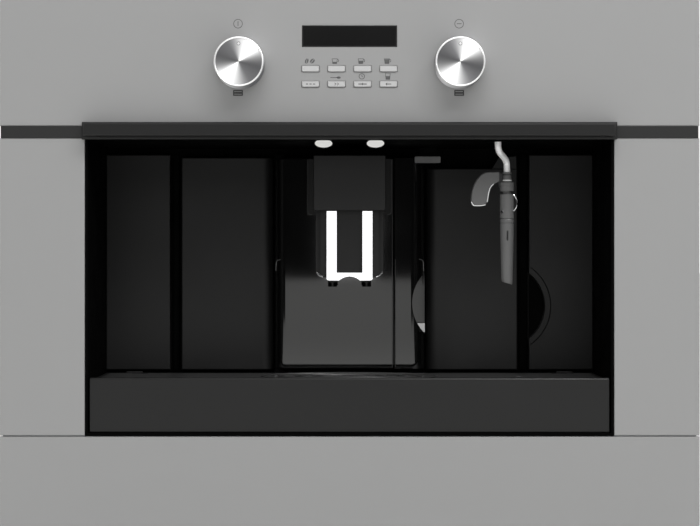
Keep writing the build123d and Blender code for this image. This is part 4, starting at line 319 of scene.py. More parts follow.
# %% Black and grey plastics
# Black ABS, with painted shade of the deep opening in its near zero colour and shine.
textured_black = uneven(
    finish("spark_textured_black_ABS", "#020202", IOR=1.5, Specular_IOR_Level=0.03),
    0.5, 0.02, (0.55, 0.68), ("#030303", "#010101"), 30,
)
satin_black = uneven(
    finish("satin_black_ABS", "#141414", IOR=1.5, Specular_IOR_Level=0.3), 0.7, 0.006, (0.4, 0.5),
    ("#151515", "#121212"), 50,
)
slider_black = uneven(
    finish("satin_black_POM", "#0A0A0A", IOR=1.48, Specular_IOR_Level=0.3), 0.7, 0.006, (0.42, 0.5),
    ("#0B0B0B", "#090909"), 50,
)
gloss_black = uneven(
    finish("high_gloss_black_ABS", "#0B0B0B", IOR=1.65), 30, 0.004, (0.03, 0.05), ("#0C0C0C", "#0A0A0A"), 80
)
tray_plastic = uneven(
    finish("satin_graphite_ABS", "#1C1C1C", IOR=1.5, Specular_IOR_Level=0.3), 0.6, 0.008, (0.36, 0.46),
    ("#1E1E1E", "#1A1A1A"), 45,
)
grille_plastic = uneven(
    finish("satin_grey_ABS", "#3E3E3E", IOR=1.5), 0.6, 0.008, (0.3, 0.4), ("#424242", "#3A3A3A"), 45
)
plastics = (textured_black, satin_black, slider_black, gloss_black, tray_plastic, grille_plastic)
print("plastics:", ", ".join(made.name for made in plastics))

# %% [markdown]
# ## Display, buttons and print
# The display is a smoked acrylic window, dark and a little soft in its shine. The buttons are ABS with
# a silver lacquer. The signs are screen printed ink, a layer of a few hundredths of a millimetre that
# dries matt. White paint fills the dots on the knobs.

# %% Display, button lacquer and inks
smoked_acrylic = uneven(
    finish("smoked_acrylic", "#181818", IOR=1.49), 25, 0.003, (0.12, 0.16), ("#191919", "#171717"), 60
)
silver_lacquer_and_painted_light = uneven(
    finish("silver_ABS_lacquer_and_painted_light", "#CCCCCC", IOR=1.5), 0.3, 0.002, (0.34, 0.42), ("#CECECE", "#C9C9C9"), 8
)
grey_ink = uneven(
    finish("grey_screen_ink", "#5A5A5A", IOR=1.48), 0.3, 0.004, (0.6, 0.7), ("#5D5D5D", "#575757"), 3
)
dark_ink = uneven(
    finish("dark_screen_ink", "#3A3A3A", IOR=1.48), 0.3, 0.004, (0.6, 0.7), ("#3D3D3D", "#373737"), 3
)
white_paint_and_highlight = uneven(
    finish("white_fill_paint_and_highlight", "#FFFFFF", IOR=1.5), 0.4, 0.002, (0.3, 0.4), ("#FFFFFF", "#FAFAFA"), 2
)
print("inks:", grey_ink.name, dark_ink.name)

# %% [markdown]
# ## Clear and red plastics
# The water tank is moulded from SAN and the bean hopper from polycarbonate. Both are clear and tinted
# grey, so the light goes through them and loses a little on the way. The tray's float is red acetal,
# to be seen from above when the tray is full.

# %% Clear and red plastics
clear_tank = uneven(
    finish("smoke_tinted_SAN", "#A9B2B8", IOR=1.57, Transmission_Weight=0.9), 12, 0.01, (0.04, 0.1), None, 40
)
smoked_hopper = uneven(
    finish("smoke_tinted_polycarbonate", "#6B6E72", IOR=1.58, Transmission_Weight=0.85),
    12, 0.01, (0.05, 0.12), None, 40,
)
red_float = uneven(
    finish("red_acetal", "#B5201A", IOR=1.48), 0.6, 0.006, (0.25, 0.35), ("#BA221C", "#A91C17"), 6
)
print("clear and red plastics:", clear_tank.name, smoked_hopper.name, red_float.name)

# %% [markdown]
# ## Inside parts and the wand
# The brewing parts are glass filled nylon, whose fibres make it rough and blotchy, and the boiler is
# pressure cast aluminium with a dull skin. The pump's coil is dipped in black paint, and the hoses are
# milky silicone rubber that lets some light in. The wand's grip and sleeve are steel under a satin grey
# lacquer, and the pins of the inlet are brass with a warm nickel plate.

# %% Inside parts and the wand
glass_filled_nylon = uneven(
    finish("glass_filled_nylon", "#5C5E62", IOR=1.53), 0.5, 0.03, (0.5, 0.65), ("#64666A", "#525458"), 6
)
cast_aluminium = uneven(
    finish("pressure_cast_aluminium", "#A6A7A8", Metallic=1.0), 1.2, 0.08, (0.42, 0.58),
    ("#AEAFB0", "#94969A"), 14,
)
satin_steel = uneven(
    finish("satin_lacquered_steel", "#646464", IOR=1.5, Specular_IOR_Level=0.35), 0.6, 0.003, (0.38, 0.46),
    ("#676767", "#616161"), 12,
)
silicone_hose = uneven(
    finish("silicone_rubber", "#D9D8D2", IOR=1.41, Subsurface_Weight=0.2, Subsurface_Scale=2 * MM),
    0.8, 0.01, (0.45, 0.6), ("#DDDCD6", "#D0CFC8"), 20,
)
painted_steel = uneven(
    finish("black_dipped_steel", "#35363A", IOR=1.5), 1.5, 0.02, (0.35, 0.5), ("#3A3B3F", "#2E2F33"), 20
)
black_nylon = uneven(
    finish("moulded_black_nylon", "#17181A", IOR=1.53), 0.5, 0.015, (0.42, 0.55), ("#1A1B1D", "#131416"), 10
)
brass = uneven(
    finish("nickel_plated_brass", "#C9C1A6", Metallic=1.0), 0.5, 0.002, (0.2, 0.3), ("#CFC8AE", "#BDB498"), 4
)
print("inside:", glass_filled_nylon.name, cast_aluminium.name, silicone_hose.name)

# %% [markdown]
# ## Circuit board
# The board is glass fibre under green solder resist, with copper tracks that show through as lighter
# lines. A brick pattern of 2.4 by 1.2 mm gives lines that turn at right angles, as tracks do. Bricks lie
# flat, so their place is turned upright.

# %% Circuit board
TRACK_MM = 2.4
solder_resist = finish("solder_resist_board", "#14532B", IOR=1.5, Roughness=0.32)
tree = solder_resist.node_tree
shader = tree.nodes["Principled BSDF"]
place = node(tree, "ShaderNodeTexCoord").outputs["Object"]
turned = node(tree, "ShaderNodeMapping", {"Rotation": (math.radians(90), 0, 0)}, {"Vector": place})
tracks = node(
    tree, "ShaderNodeTexBrick",
    {"Color1": linear("#12502A"), "Color2": linear("#165A30"), "Mortar": linear("#2C7A49"),
     "Scale": 1000 / TRACK_MM, "Mortar Size": 0.06, "Brick Width": 1.0, "Row Height": 0.5},
    {"Vector": turned},
)
tree.links.new(tracks.outputs["Color"], shader.inputs["Base Color"])
print("board:", solder_resist.name)

# %% [markdown]
# ## Lamp lenses
# Two small lamps in the ceiling light the cup. Their lenses are frosted polycarbonate in front of a
# white light source. They look flat and nearly white, so the plastic is pale and glows a little.

# %% Lamp lens
lamp_glow = uneven(
    finish("frosted_polycarbonate_lit", "#C8C8C6", IOR=1.58, Emission_Strength=0.38),
    0.8, 0.01, (0.3, 0.4), None, 5,
)
lamp_glow.node_tree.nodes["Principled BSDF"].inputs["Emission Color"].default_value = linear("#FFFFFC")
print("lamps:", lamp_glow.name)

# %% [markdown]
# ## Dress the solids
# Each solid keeps its shape and only takes on its real material. A list of names per finish shows at a
# glance what the machine is made of.

# %% Finish of each solid
buttons = [f"{row}_button_{column}" for row in ("upper", "lower") for column in range(1, 5)]
dressed = {
    lacquered_steel: ["control_panel", "column_panels", "bottom_panel"],
    graphite_lacquer: ["pull_handle"],
    strip_lacquer_painted_lighter: ["trim_strip"],
    turned_aluminium: ["left_knob", "right_knob"],
    smoked_acrylic: ["display_window"],
    silver_lacquer_and_painted_light: buttons,
    textured_black: ["recess_liner", "gap_strips", "wand_yoke", "hopper_lid"],
    slider_black: ["spout_slider"],
    satin_black: [
        "left_outer_panel", "left_inner_panel", "right_outer_panel", "tank_front", "spout_cover"
    ],
    gloss_black: ["service_door", "centre_trim"],
    tray_plastic: ["drip_tray", "grounds_container"],
    grille_plastic: ["cup_grille"],
    chrome_plate: ["spout_face", "steam_pipe"],
    satin_steel: ["frother_sleeve", "wand_grip"],
    lamp_glow: ["lamp_lenses"],
    red_float: ["tray_float"],
    clear_tank: ["water_tank"],
    smoked_hopper: ["bean_hopper"],
    galvanised_steel: [
        "chassis_base", "right_side_panel", "left_side_panel", "back_panel", "top_cover", "front_frame"
    ],
    zinc_plate: ["cabinet_rails", "middle_rails", "machine_rails", "case_screws", "drive_screw"],
    glass_filled_nylon: ["rotary_switches", "grinder_body", "brew_frame"],
    black_nylon: ["brew_piston", "mains_inlet", "mains_switch"],
    cast_aluminium: ["thermoblock"],
    painted_steel: ["pump"],
    silicone_hose: ["water_pipes"],
    solder_resist: ["control_board"],
}
for made, names in dressed.items():
    for name in names:
        slots = frame["nodes"][name].data.materials
        slots.clear()
        slots.append(made)
bare = sorted(set(frame["nodes"]) - {name for names in dressed.values() for name in names})
print("solids without a finish:", bare)

# %% [markdown]
# ## Soft edges
# No folded, moulded or sprayed edge is razor sharp, and its narrow round is what catches the light. The
# CAD faces come apart at their borders, so a Weld modifier joins them before Bevel rounds the edge.


# %% Soft edges
def soften(piece, width, angle, segments):
    """Round the edges of a piece that are sharper than an angle; the width is in millimetres."""
    edge = piece.modifiers.new("soft edges", "BEVEL")
    edge.width = width * MM
    edge.segments = segments
    edge.limit_method = "ANGLE"
    edge.angle_limit = math.radians(angle)
    edge.harden_normals = True


softened = [
    "pull_handle", "trim_strip", "drip_tray", "cup_grille", "chassis_base", "right_side_panel",
    "left_side_panel", "top_cover", "control_panel", "column_panels", "bottom_panel", "grounds_container",
    "bean_hopper", "water_tank", "thermoblock", "pump", "brew_frame", "hopper_lid", "cabinet_rails",
    "middle_rails", "machine_rails",
]
for name in softened + buttons:
    solid = frame["nodes"][name]
    weld = solid.modifiers.new("joined corners", "WELD")
    weld.merge_threshold = 0.01 * MM
    soften(solid, 0.3, 40, 2)
print(len(softened) + len(buttons), "solids with soft edges")

# %% [markdown]
# ## Building new pieces
# A piece is drawn in millimetres, as a shape with a depth or as a profile that turns around an axis,
# the way sheet is cut and bars are turned. It then rides on the body of the machine that carries it.


# %% Mesh helpers
def extruded(outline, depths, upright=False):
    """A solid with an outline of X and Z points between two depths, or of X and depth between two Z."""
    made = bmesh.new()
    near, far = (
        [made.verts.new((a, b, end) if upright else (a, end, b)) for a, b in outline] for end in depths
    )
    made.faces.new(near)
    made.faces.new(list(reversed(far)))
    for index in range(len(outline)):
        after = (index + 1) % len(outline)
        made.faces.new((near[after], near[index], far[index], far[after]))
    bmesh.ops.recalc_face_normals(made, faces=made.faces)
    return made


def turned_solid(profile, middle, axis, steps=96):
    """A profile of radius and place along the axis, turned around that axis."""
    made = bmesh.new()
    rows = []
    for radius, along in profile:
        row = []
        for step in range(steps):
            angle = math.tau * step / steps
            a, b = radius * math.cos(angle), radius * math.sin(angle)
            offset = {"depth": (a, along, b), "up": (a, b, along), "across": (along, a, b)}[axis]
            row.append(made.verts.new(Vector(middle) + Vector(offset)))
        rows.append(row)
    for low, high in zip(rows, rows[1:]):
        for step in range(steps):
            after = (step + 1) % steps
            made.faces.new((low[step], low[after], high[after], high[step]))
    bmesh.ops.remove_doubles(made, verts=made.verts, dist=0.0005)
    bmesh.ops.recalc_face_normals(made, faces=made.faces)
    return made


def printed(polygons, depth):
    """Flat shapes of X and Z points that lie on a surface at one depth and face the front."""
    made = bmesh.new()
    for polygon in polygons:
        face = made.faces.new([made.verts.new((x, depth, z)) for x, z in polygon])
        face.normal_update()
        if face.normal.y > 0:
            face.normal_flip()
    return made


def joined(parts):
    """Several shapes as one."""
    whole = bmesh.new()
    for part in parts:
        mesh = bpy.data.meshes.new("part")
        part.to_mesh(mesh)
        part.free()
        whole.from_mesh(mesh)
        bpy.data.meshes.remove(mesh)
    return whole


def carried(piece, body):
    """Put a new piece in the scene, on the body that carries it."""
    bpy.context.scene.collection.objects.link(piece)
    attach(piece, body)
    return piece


def show(name, shape, body, made, soft=0.0, origin=None, sharp=35):
    """Make a shape a shown piece that rides on a body; soft rounds the edges sharper than sharp."""
    centre = at(*origin) if origin else Vector((0, 0, 0))
    for corner in shape.verts:
        corner.co = at(*corner.co) - centre
    mesh = bpy.data.meshes.new(name)
    shape.to_mesh(mesh)
    shape.free()
    mesh.materials.append(made)
    mesh.shade_smooth()
    mesh.set_sharp_from_angle(angle=math.radians(sharp))
    piece = bpy.data.objects.new(name, mesh)
    piece.location = centre
    if soft:
        soften(piece, soft, sharp, 3)
    return carried(piece, body)


# %% [markdown]
# ## Lines, arcs and wires
# Printed signs are made of strokes, and moulded corners of arcs, so both get a helper. Thin round beads
# and bent pipes are curves with a thickness, which stay smooth where a mesh would show its corners.


# %% Lines, arcs and wires
def arc(x, z, radius, start, end, steps=12, tall=1.0):
    """Points of X and Z along an arc, with angles in degrees; tall stretches it upwards."""
    angles = [math.radians(start + (end - start) * step / steps) for step in range(steps + 1)]
    return [(x + radius * math.cos(a), z + radius * tall * math.sin(a)) for a in angles]


def line(points, width, closed=False):
    """A drawn line as a row of four cornered shapes."""
    sides = []
    for index, (x, z) in enumerate(points):
        before = points[index - 1] if index or closed else points[index]
        after = points[(index + 1) % len(points)] if index < len(points) - 1 or closed else points[index]
        along = Vector((after[0] - before[0], after[1] - before[1])).normalized()
        a, b = -along.y * width / 2, along.x * width / 2
        sides.append(((x + a, z + b), (x - a, z - b)))
    following = sides[1:] + sides[:1] if closed else sides[1:]
    return [(a[0], b[0], b[1], a[1]) for a, b in zip(sides, following)]


def rounded(x, z, radius, steps=5):
    """A rectangle's outline between limits in X and Z, with round corners."""
    corners = ((x[1], z[1], 0), (x[0], z[1], 90), (x[0], z[0], 180), (x[1], z[0], 270))
    outline = []
    for corner_x, corner_z, start in corners:
        inner_x = corner_x + (radius if corner_x == x[0] else -radius)
        inner_z = corner_z + (radius if corner_z == z[0] else -radius)
        outline += arc(inner_x, inner_z, radius, start, start + 90, steps)
    return outline


def wire(name, runs, thickness, body, made):
    """Round wires along runs of (x, depth, z) points, smoothed into curves."""
    curve = bpy.data.curves.new(name, "CURVE")
    curve.dimensions = "3D"
    curve.bevel_depth = thickness / 2 * MM
    curve.bevel_resolution = 5
    curve.resolution_u = 8
    curve.use_fill_caps = True
    for run in runs:
        spline = curve.splines.new("NURBS")
        spline.points.add(len(run) - 1)
        for point, place in zip(spline.points, run):
            point.co = (*at(*place), 1)
        spline.order_u = 3
        spline.use_endpoint_u = True
    curve.materials.append(made)
    return carried(bpy.data.objects.new(name, curve), body)


print("a quarter circle in", len(arc(0, 0, 1, 0, 90)), "points")

# %% [markdown]
# ## Knobs
# Each knob is turned from solid aluminium: a shallow dished face, a polished bevel around it, a groove
# and a straight side. A lathe profile is the natural way to draw it. A dot of white paint in a drilled
# pit shows where the knob points.

# %% Knobs
DOT_Z = KNOB_Z + 15
knob_profile = [
    (0, -24.42), (6, -24.4), (18.9, -24.35), (19.2, -24.2), (19.5, -24.2), (19.55, -23.9), (20.9, -23.9),
    (21.0, -4.6), (20.6, -4.3), (20.6, -3.7), (21.0, -3.4), (21.0, -1.4), (20.7, -1.0),
    (19.0, -1.0), (19.0, -16.9), (3.0, -16.9), (3.0, 6.9), (0, 6.9),
]
chamfer_profile = [
    (19.35, -24.2), (19.6, -24.75), (19.9, -25.0), (20.4, -25.0), (21.0, -24.35), (21.0, -23.8),
    (19.35, -23.8),
]
dot_profile = [(0, -24.6), (0.8, -24.6), (1.05, -24.5), (1.1, -24.3), (0, -24.3)]
pit_profile = [(1.1, -24.42), (1.15, -24.47), (1.4, -24.47), (1.45, -24.42)]
for side, name in ((-1, "left"), (1, "right")):
    middle = (side * KNOB_X, 0, KNOB_Z)
    knob = show(
        f"{name}_turned_knob", turned_solid(knob_profile, middle, "depth", 128), f"{name}_knob",
        turned_aluminium, origin=middle, sharp=20,
    )
    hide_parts(f"{name}_knob")
    chamfer = turned_solid(chamfer_profile, middle, "depth", 128)
    show(f"{name}_knob_chamfer", chamfer, f"{name}_knob", polished_rim, sharp=50)
    dot_middle = (side * KNOB_X, 0, DOT_Z)
    dot = turned_solid(dot_profile, dot_middle, "depth", 24)
    show(f"{name}_knob_dot", dot, f"{name}_knob", white_paint_and_highlight)
    pit = turned_solid(pit_profile, dot_middle, "depth", 24)
    show(f"{name}_knob_dot_rim", pit, f"{name}_knob", dark_ink)
print("knob diameter", 2 * max(r for r, _ in knob_profile), "mm")

# %% [markdown]
# ## Printed signs
# Simple signs stand above the buttons: beans, cups, an arrow to a cup seen from above, a clock and a
# glass. They are drawn as thin flat shapes just in front of the lacquer, which is what a print is.

# %% Signs for the buttons
PRINT_DEPTH = -0.04
BEANS_Z, CUPS_Z, ARROW_Z = 399.3, 397.2, 385.2
GLASS_TOP, GLASS_FOOT = 388.9, 383.7
CLOCK = (10.45, 386.3)


def cup(x, z, fill):
    """A small tapered cup with a handle, filled up to a share of its height."""
    top, low, tall = 2.25, 1.6, 4.0
    half = low + (top - low) * fill
    shape = line([(x - top, z + tall), (x - low, z), (x + low, z), (x + top, z + tall)], 0.7, True)
    shape += line(arc(x + top, z + tall * 0.6, 1.1, 80, -80, 8), 0.55)
    shape.append([(x - low, z), (x + low, z), (x + half, z + tall * fill), (x - half, z + tall * fill)])
    return shape


def bean(x, z, wide, tilt):
    """A coffee bean, a leaning filled oval, and its crease."""
    lean = math.radians(tilt)

    def turn(a, b):
        return x + a * math.cos(lean) - b * math.sin(lean), z + a * math.sin(lean) + b * math.cos(lean)

    oval = [turn(wide * math.cos(a), 2.35 * math.sin(a)) for a in (math.tau * n / 24 for n in range(24))]
    crease = [turn(0.3 * math.sin(n * 1.05), -2.3 + 4.6 * n / 6) for n in range(7)]
    return [oval], line(crease, 0.4)


first, first_crease = bean(-36.4, BEANS_Z, 1.45, -22)
second, second_crease = bean(-31.6, BEANS_Z, 1.7, -48)
signs = first + second
for x, fill in zip((-12.6, 9.6, 31.8), (0.35, 0.6, 0.9)):
    signs += cup(x, CUPS_Z, fill)
signs += line([(-16.3, ARROW_Z), (-9.6, ARROW_Z)], 0.6)
signs.append(arc(-9.2, ARROW_Z, 1.7, 0, 360, 20, 0.6)[:-1])
signs += line(arc(*CLOCK, 2.3, 0, 360, 28)[:-1], 0.6, True)
signs += line([(10.45, 387.7), CLOCK, (11.5, 385.7)], 0.5)
signs += line([(30.5, GLASS_TOP), (31.0, GLASS_FOOT), (34.1, GLASS_FOOT), (34.6, GLASS_TOP)], 0.6, True)
signs.append([(31.0, GLASS_FOOT), (34.1, GLASS_FOOT), (34.4, 386.5), (30.7, 386.5)])
show("button_signs", printed(signs, PRINT_DEPTH), "machine", grey_ink)
creases = printed(first_crease + second_crease, PRINT_DEPTH - 0.02)
show("bean_creases", creases, "machine", lacquered_steel)
print(len(signs), "printed shapes above the buttons")

# %% [markdown]
# ## Marks on the lower buttons
# The lower buttons carry plain marks: dashes, chevrons, a crossed bar and an arrow. They ride on their
# own buttons, because each button moves.

# %% Marks on the lower buttons
CAP_DEPTH, LOWER_ROW_Z, BUTTON_PITCH = -1.64, 379.6, 22.1
marks = [
    [shape for shift in (-3, 0, 3) for shape in line([(shift - 0.9, 0), (shift + 0.9, 0)], 0.7)],
    [shape for shift in (-1.6, 0.6) for shape in line([(shift, 1.0), (shift + 1.2, 0), (shift, -1.0)], 0.5)],
    line([(-3.6, 0), (3.6, 0)], 0.7) + line([(0, 0.9), (0, -0.9)], 0.5),
    line([(-2.2, 0), (2.2, 0)], 0.6) + line([(-1.2, 1.0), (-2.4, 0), (-1.2, -1.0)], 0.5),
]
for column, mark in enumerate(marks, 1):
    x = (column - 2.5) * BUTTON_PITCH
    moved = [[(x + a, LOWER_ROW_Z + b) for a, b in shape] for shape in mark]
    show(f"lower_button_mark_{column}", printed(moved, CAP_DEPTH), f"lower_button_{column}", dark_ink)
print("marks on", len(marks), "buttons")

# %% [markdown]
# ## Signs around the knobs
# A ring with a stroke stands above each knob, and a small dark label with two rows below it. The rows
# are gaps in the ink that show the panel, so they are drawn over the label in the panel's lacquer.

# %% Signs around the knobs
RING_Z = 431.0
for name, x in (("left", -94.8), ("right", 93.2)):
    ring = line(arc(x, RING_Z, 3.7, 0, 360, 36)[:-1], 0.55, True)
    hand = [(x, 433.1), (x, 429.1)] if name == "left" else [(x - 2.0, RING_Z), (x + 2.0, RING_Z)]
    show(f"knob_signs_{name}", printed(ring + line(hand, 0.6), PRINT_DEPTH), "machine", grey_ink)
    label = rounded((x - 4.2, x + 4.2), (369.7, 374.7), 0.4, 2)
    show(f"dial_signs_{name}", printed([label], PRINT_DEPTH), "machine", dark_ink)
    rows = [shape for z in (371.1, 373.3) for shape in line([(x - 3.2, z), (x + 3.2, z)], 0.5)]
    show(f"dial_details_{name}", printed(rows, PRINT_DEPTH - 0.02), "machine", lacquered_steel)
print("signs around the knobs done")

# %% [markdown]
# ## Display mask
# Behind the smoked window a mask of black ink hides the edge of the screen. It shows as a slightly
# darker border, so it is drawn as a flat frame on the window.

# %% Display mask
MASK_X, MASK_Z = (-39.9, 39.9), (411.8, 429.3)
mask = line(rounded(MASK_X, MASK_Z, 0.8, 3), 0.9, True)
mask_and_slot_shade = uneven(
    finish("black_ink_mask_and_slot_shade", "#0A0A0A", IOR=1.48), 0.4, 0.003, (0.3, 0.4), ("#0B0B0B", "#090909"), 6
)
show("display_mask", printed(mask, 0.26), "machine", mask_and_slot_shade)
print("mask", round(MASK_X[1] - MASK_X[0], 1), "mm wide")

# %% [markdown]
# ## Bright edges of the service door
# The door and the trim beside it have narrow raised edges, where the mould parts, and the light they
# catch shows as thin grey lines, brighter at the upper corners. These lines are painted highlights: fine
# wires in a grey and in a polished lighter grey, which follow the solids, whose faces turn back in a
# round at both sides.

# %% Door highlight beads
# Painted highlights: the grey of these wires stands for light along the edges and corners.
satin_highlight_bead = uneven(
    finish("satin_grey_highlight_bead", "#3C3C3C", IOR=1.5), 0.5, 0.002, (0.3, 0.4), ("#404040", "#383838"), 6
)
corner_highlight_bead = uneven(
    finish("polished_highlight_bead", "#6E6E6E", IOR=1.6), 0.8, 0.001, (0.2, 0.3), ("#727272", "#666666"), 3
)
FACE_DEPTH = 112
LEFT_ROUND_X, LEFT_ROUND = -58.4, 9.6
RIGHT_ROUND_X, RIGHT_ROUND = 55.8, 13


def highlight_places(corners):
    """Places just in front of the door's and the trim's face, for corners of X and Z."""
    places = []
    for x, z in corners:
        past, radius = (LEFT_ROUND_X - x, LEFT_ROUND) if x < 0 else (x - RIGHT_ROUND_X, RIGHT_ROUND)
        turned_back = radius - math.sqrt(radius ** 2 - max(past, 0) ** 2)
        places.append((x, FACE_DEPTH + turned_back - 0.1, z))
    return places


hood = [
    [(side * x, 109.9, z) for x, z in ((38.0, 321), (38.0, 290), (38.0, 275), (37.4, 271.9), (34.4, 271.4))]
    for side in (-1, 1)
]
wire("hood_plate_beads", hood, 0.7, "service_door", satin_highlight_bead)
for name, corners, thickness, body, made in (
    ("door_right_bead", ((38.9, 133), (38.9, 230), (38.9, 322)), 0.7, "service_door", satin_highlight_bead),
    ("trim_left_bead", ((41.6, 133), (41.6, 200), (41.6, 231)), 0.7, "machine", satin_highlight_bead),
    ("door_corner_shine", ((-62.9, 230.6), (-65.7, 230.4), (-67.0, 228.0), (-67.1, 220.5)), 0.8,
     "service_door", corner_highlight_bead),
    ("trim_corner_shine", ((63.4, 231), (66.2, 230.8), (67.4, 228.4), (67.5, 220)), 0.8,
     "machine", corner_highlight_bead),
    ("trim_right_bead", ((67.6, 219), (67.6, 213), (67.6, 208)), 0.5, "machine", satin_highlight_bead),
):
    wire(name, [highlight_places(corners)], thickness, body, made)
print("corner bead at depth", round(highlight_places([(-67.0, 228.0)])[0][1], 1), "mm")

# %% [markdown]
# ## Spout corner glints
# The spout's housing glints along its rounded lower corners. The glints are painted highlights: thin
# chrome arcs seen edge on, so an arc of an outline with a little depth is enough.

# %% Spout corner glints
GLINT_X, GLINT_Z = 22.6, 222
glint_arcs = []
for side in (-1, 1):
    outer, inner = arc(GLINT_X, GLINT_Z, 7.0, -22, -84, 8), arc(GLINT_X, GLINT_Z, 5.9, -84, -22, 8)
    outline = [(side * x, z) for x, z in outer + inner]
    glint_arcs.append(extruded(outline if side > 0 else outline[::-1], (55.5, 56.4)))
# Painted highlights: chrome arcs where the housing's corners catch the light.
show("spout_corner_clips", joined(glint_arcs), "coffee_spout", chrome_plate, soft=0.15)
print("clips at the housing's lower corners")

# %% [markdown]
# ## Nozzle crowns
# Each nozzle ends in a crown of four teeth that keeps drops from running up. A tooth is a slice of a
# tube: its outline goes out along the outer round and back along the inner one.

# %% Nozzle crowns
NOZZLE_X, NOZZLE_DEPTH, CROWN_Z = 15, 62.5, (206.9, 210.5)
crowns = []
for side in (-1, 1):
    for tooth in range(4):
        start = tooth * 90 + 12
        outer = arc(side * NOZZLE_X, NOZZLE_DEPTH, 4.1, start, start + 66, 6)
        inner = arc(side * NOZZLE_X, NOZZLE_DEPTH, 2.2, start + 66, start, 6)
        crowns.append(extruded(outer + inner, CROWN_Z, upright=True))
show("nozzle_crowns", joined(crowns), "coffee_spout", textured_black, soft=0.15)
print(len(crowns), "teeth")

# %% [markdown]
# ## Catch plate and tank corner
# Under the ceiling hangs a small plate, cast in zinc and sprayed a satin grey, that the tank's front
# snaps behind. The tank's front rises to a raised corner at its right. Both are flat pieces.

# %% Catch plate and corner
grey_zamak = uneven(
    finish("satin_zinc_casting", "#6C6C6C", IOR=1.5), 0.6, 0.01, (0.4, 0.5), ("#707070", "#676767"), 9
)
plate = joined([
    extruded(rounded((59.0, 82.4), (318.2, 324.0), 0.9, 3), (105.6, 107.2)),
    extruded(rounded((63.5, 77.9), (322.9, 323.6), 0.2, 2), (106.0, 107.2)),
])
show("tank_catch_plate", plate, "machine", grey_zamak, soft=0.25)
hanger = [extruded(rounded((63.0, 78.4), (323.7, 332.4), 0.4, 2), (106.6, 108.4)),
          extruded(rounded((59.0, 82.4), (325.2, 326.1), 0.3, 2), (104.9, 108.0))]
show("catch_plate_hanger", joined(hanger), "machine", textured_black, soft=0.2)
corner = [(130.2, 313.9), (134.7, 321.3), (136.0, 323.8), (152.5, 325.3), (152.5, 313.9)]
show("tank_front_corner", extruded(corner, (120.1, 122.4)), "water_tank", satin_black, soft=0.4)
print("catch plate 23 mm wide")

# %% [markdown]
# ## Finger grips
# The small half moon beside the tank ends in a sloping ramp that leads the fingertip in; the light on it
# is painted, as a pale piece in silver lacquer. The big one at the right has a flat rim with a thin dark
# line around it, over a hollow whose darkness is painted shade, a black sheet at its floor. The ramp's
# outline follows the round cut, and the line is a fine wire.

# %% Finger grips
SMALL_GRIP_X, SMALL_GRIP_Z, SMALL_GRIP_RADIUS = 95.7, 191.1, 38.7
BIG_GRIP = (140.8, 188.4)
ramp = [(68.5, 164.7)]
for z in (165, 167, 169, 171, 172.7):
    ramp.append((SMALL_GRIP_X - math.sqrt(SMALL_GRIP_RADIUS ** 2 - (SMALL_GRIP_Z - z) ** 2), z))
ramp.append((68.5, 172.7))
# Painted light: a pale piece on the lit lower slope of the half moon.
show("grip_ramp", extruded(ramp, (113.2, 128.0)), "machine", silver_lacquer_and_painted_light, soft=0.3)
rim_line = [(x, 119.9, z) for x, z in arc(*BIG_GRIP, 43.1, -56, 56, 14)]
wire("grip_rim_line", [rim_line], 0.5, "machine", textured_black)
rim = arc(*BIG_GRIP, 42.6, 57, -57, 20) + arc(*BIG_GRIP, 37.8, -52, 52, 20)
show("grip_rim", extruded(rim, (120.1, 121.6)), "machine", satin_black, soft=0.3)
# Painted shade: a black sheet at the floor of the hollow.
hollow = arc(*BIG_GRIP, 37.4, 51.5, -51.5, 20)
show("grip_hollow", extruded(hollow, (128.6, 130.3)), "machine", textured_black)
print("ramp of", len(ramp), "corners")

# %% [markdown]
# ## Steam pipe
# The wand's pipe is bent twice and plated in satin chrome. It hangs on a steel pin and carries a grey
# collar, a white band and a black seal. Round parts are lathe profiles and the pipe is a curve, which
# takes the place of the plainer CAD solid.

# %% Steam pipe
WAND_X, WAND_DEPTH = 136.7, 35.0
PIVOT_X, PIVOT_DEPTH, PIVOT_Z = 127.7, 20, 338
wand_axis = (WAND_X, WAND_DEPTH, 0)
pipe_run = [(PIVOT_X, PIVOT_DEPTH, z) for z in (343.2, 337, 331)]
pipe_run += [(127.9, 20.4, 326.5), (129.6, 23.2, 322.4), (133.4, 29.4, 319.4), (136.2, 34.2, 315.8)]
pipe_run += [(WAND_X, WAND_DEPTH, z) for z in (311, 300, 280, 250, 216)]
# The pipe's white is a painted highlight.
pipe = wire("steam_pipe_bent", [pipe_run], 5.6, "steam_wand", pipe_painted_white)
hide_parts("steam_pipe")
pin_profile = [(0, -7.5), (1.9, -7.5), (2.0, -7.3), (2.0, 7.3), (1.9, 7.5), (0, 7.5)]
pin = turned_solid(pin_profile, (PIVOT_X, PIVOT_DEPTH, PIVOT_Z), "across", 32)
show("wand_pivot_pin", pin, "steam_wand", zinc_plate)
collar = [
    (2.7, 306.2), (4.1, 306.2), (4.25, 306.0), (4.25, 304.9), (4.1, 304.7), (3.6, 304.7), (3.6, 303.7),
    (3.9, 303.5), (3.9, 298.0), (3.0, 297.9),
]
show("pipe_collar", turned_solid(collar, wand_axis, "up", 64), "steam_wand", satin_steel)
band = [(3.8, 299.8), (4.1, 299.7), (4.1, 298.7), (3.8, 298.6)]
show("pipe_band", turned_solid(band, wand_axis, "up", 64), "steam_wand", white_paint_and_highlight)
seal = [(2.9, 304.7), (3.9, 304.65), (4.0, 304.2), (3.9, 303.75), (2.9, 303.7)]
show("pipe_seal_ring", turned_solid(seal, wand_axis, "up", 48), "steam_wand", black_nylon)
print("pipe of", len(pipe_run), "points")

# %% [markdown]
# ## Wand grip
# The grip is turned, and has a lever for the thumb, a nylon web, a spring clip and a screw. The lever is
# an outline with soft edges, because it was cut from thick sheet. The light on its lower edges is a
# painted highlight, a white wire.

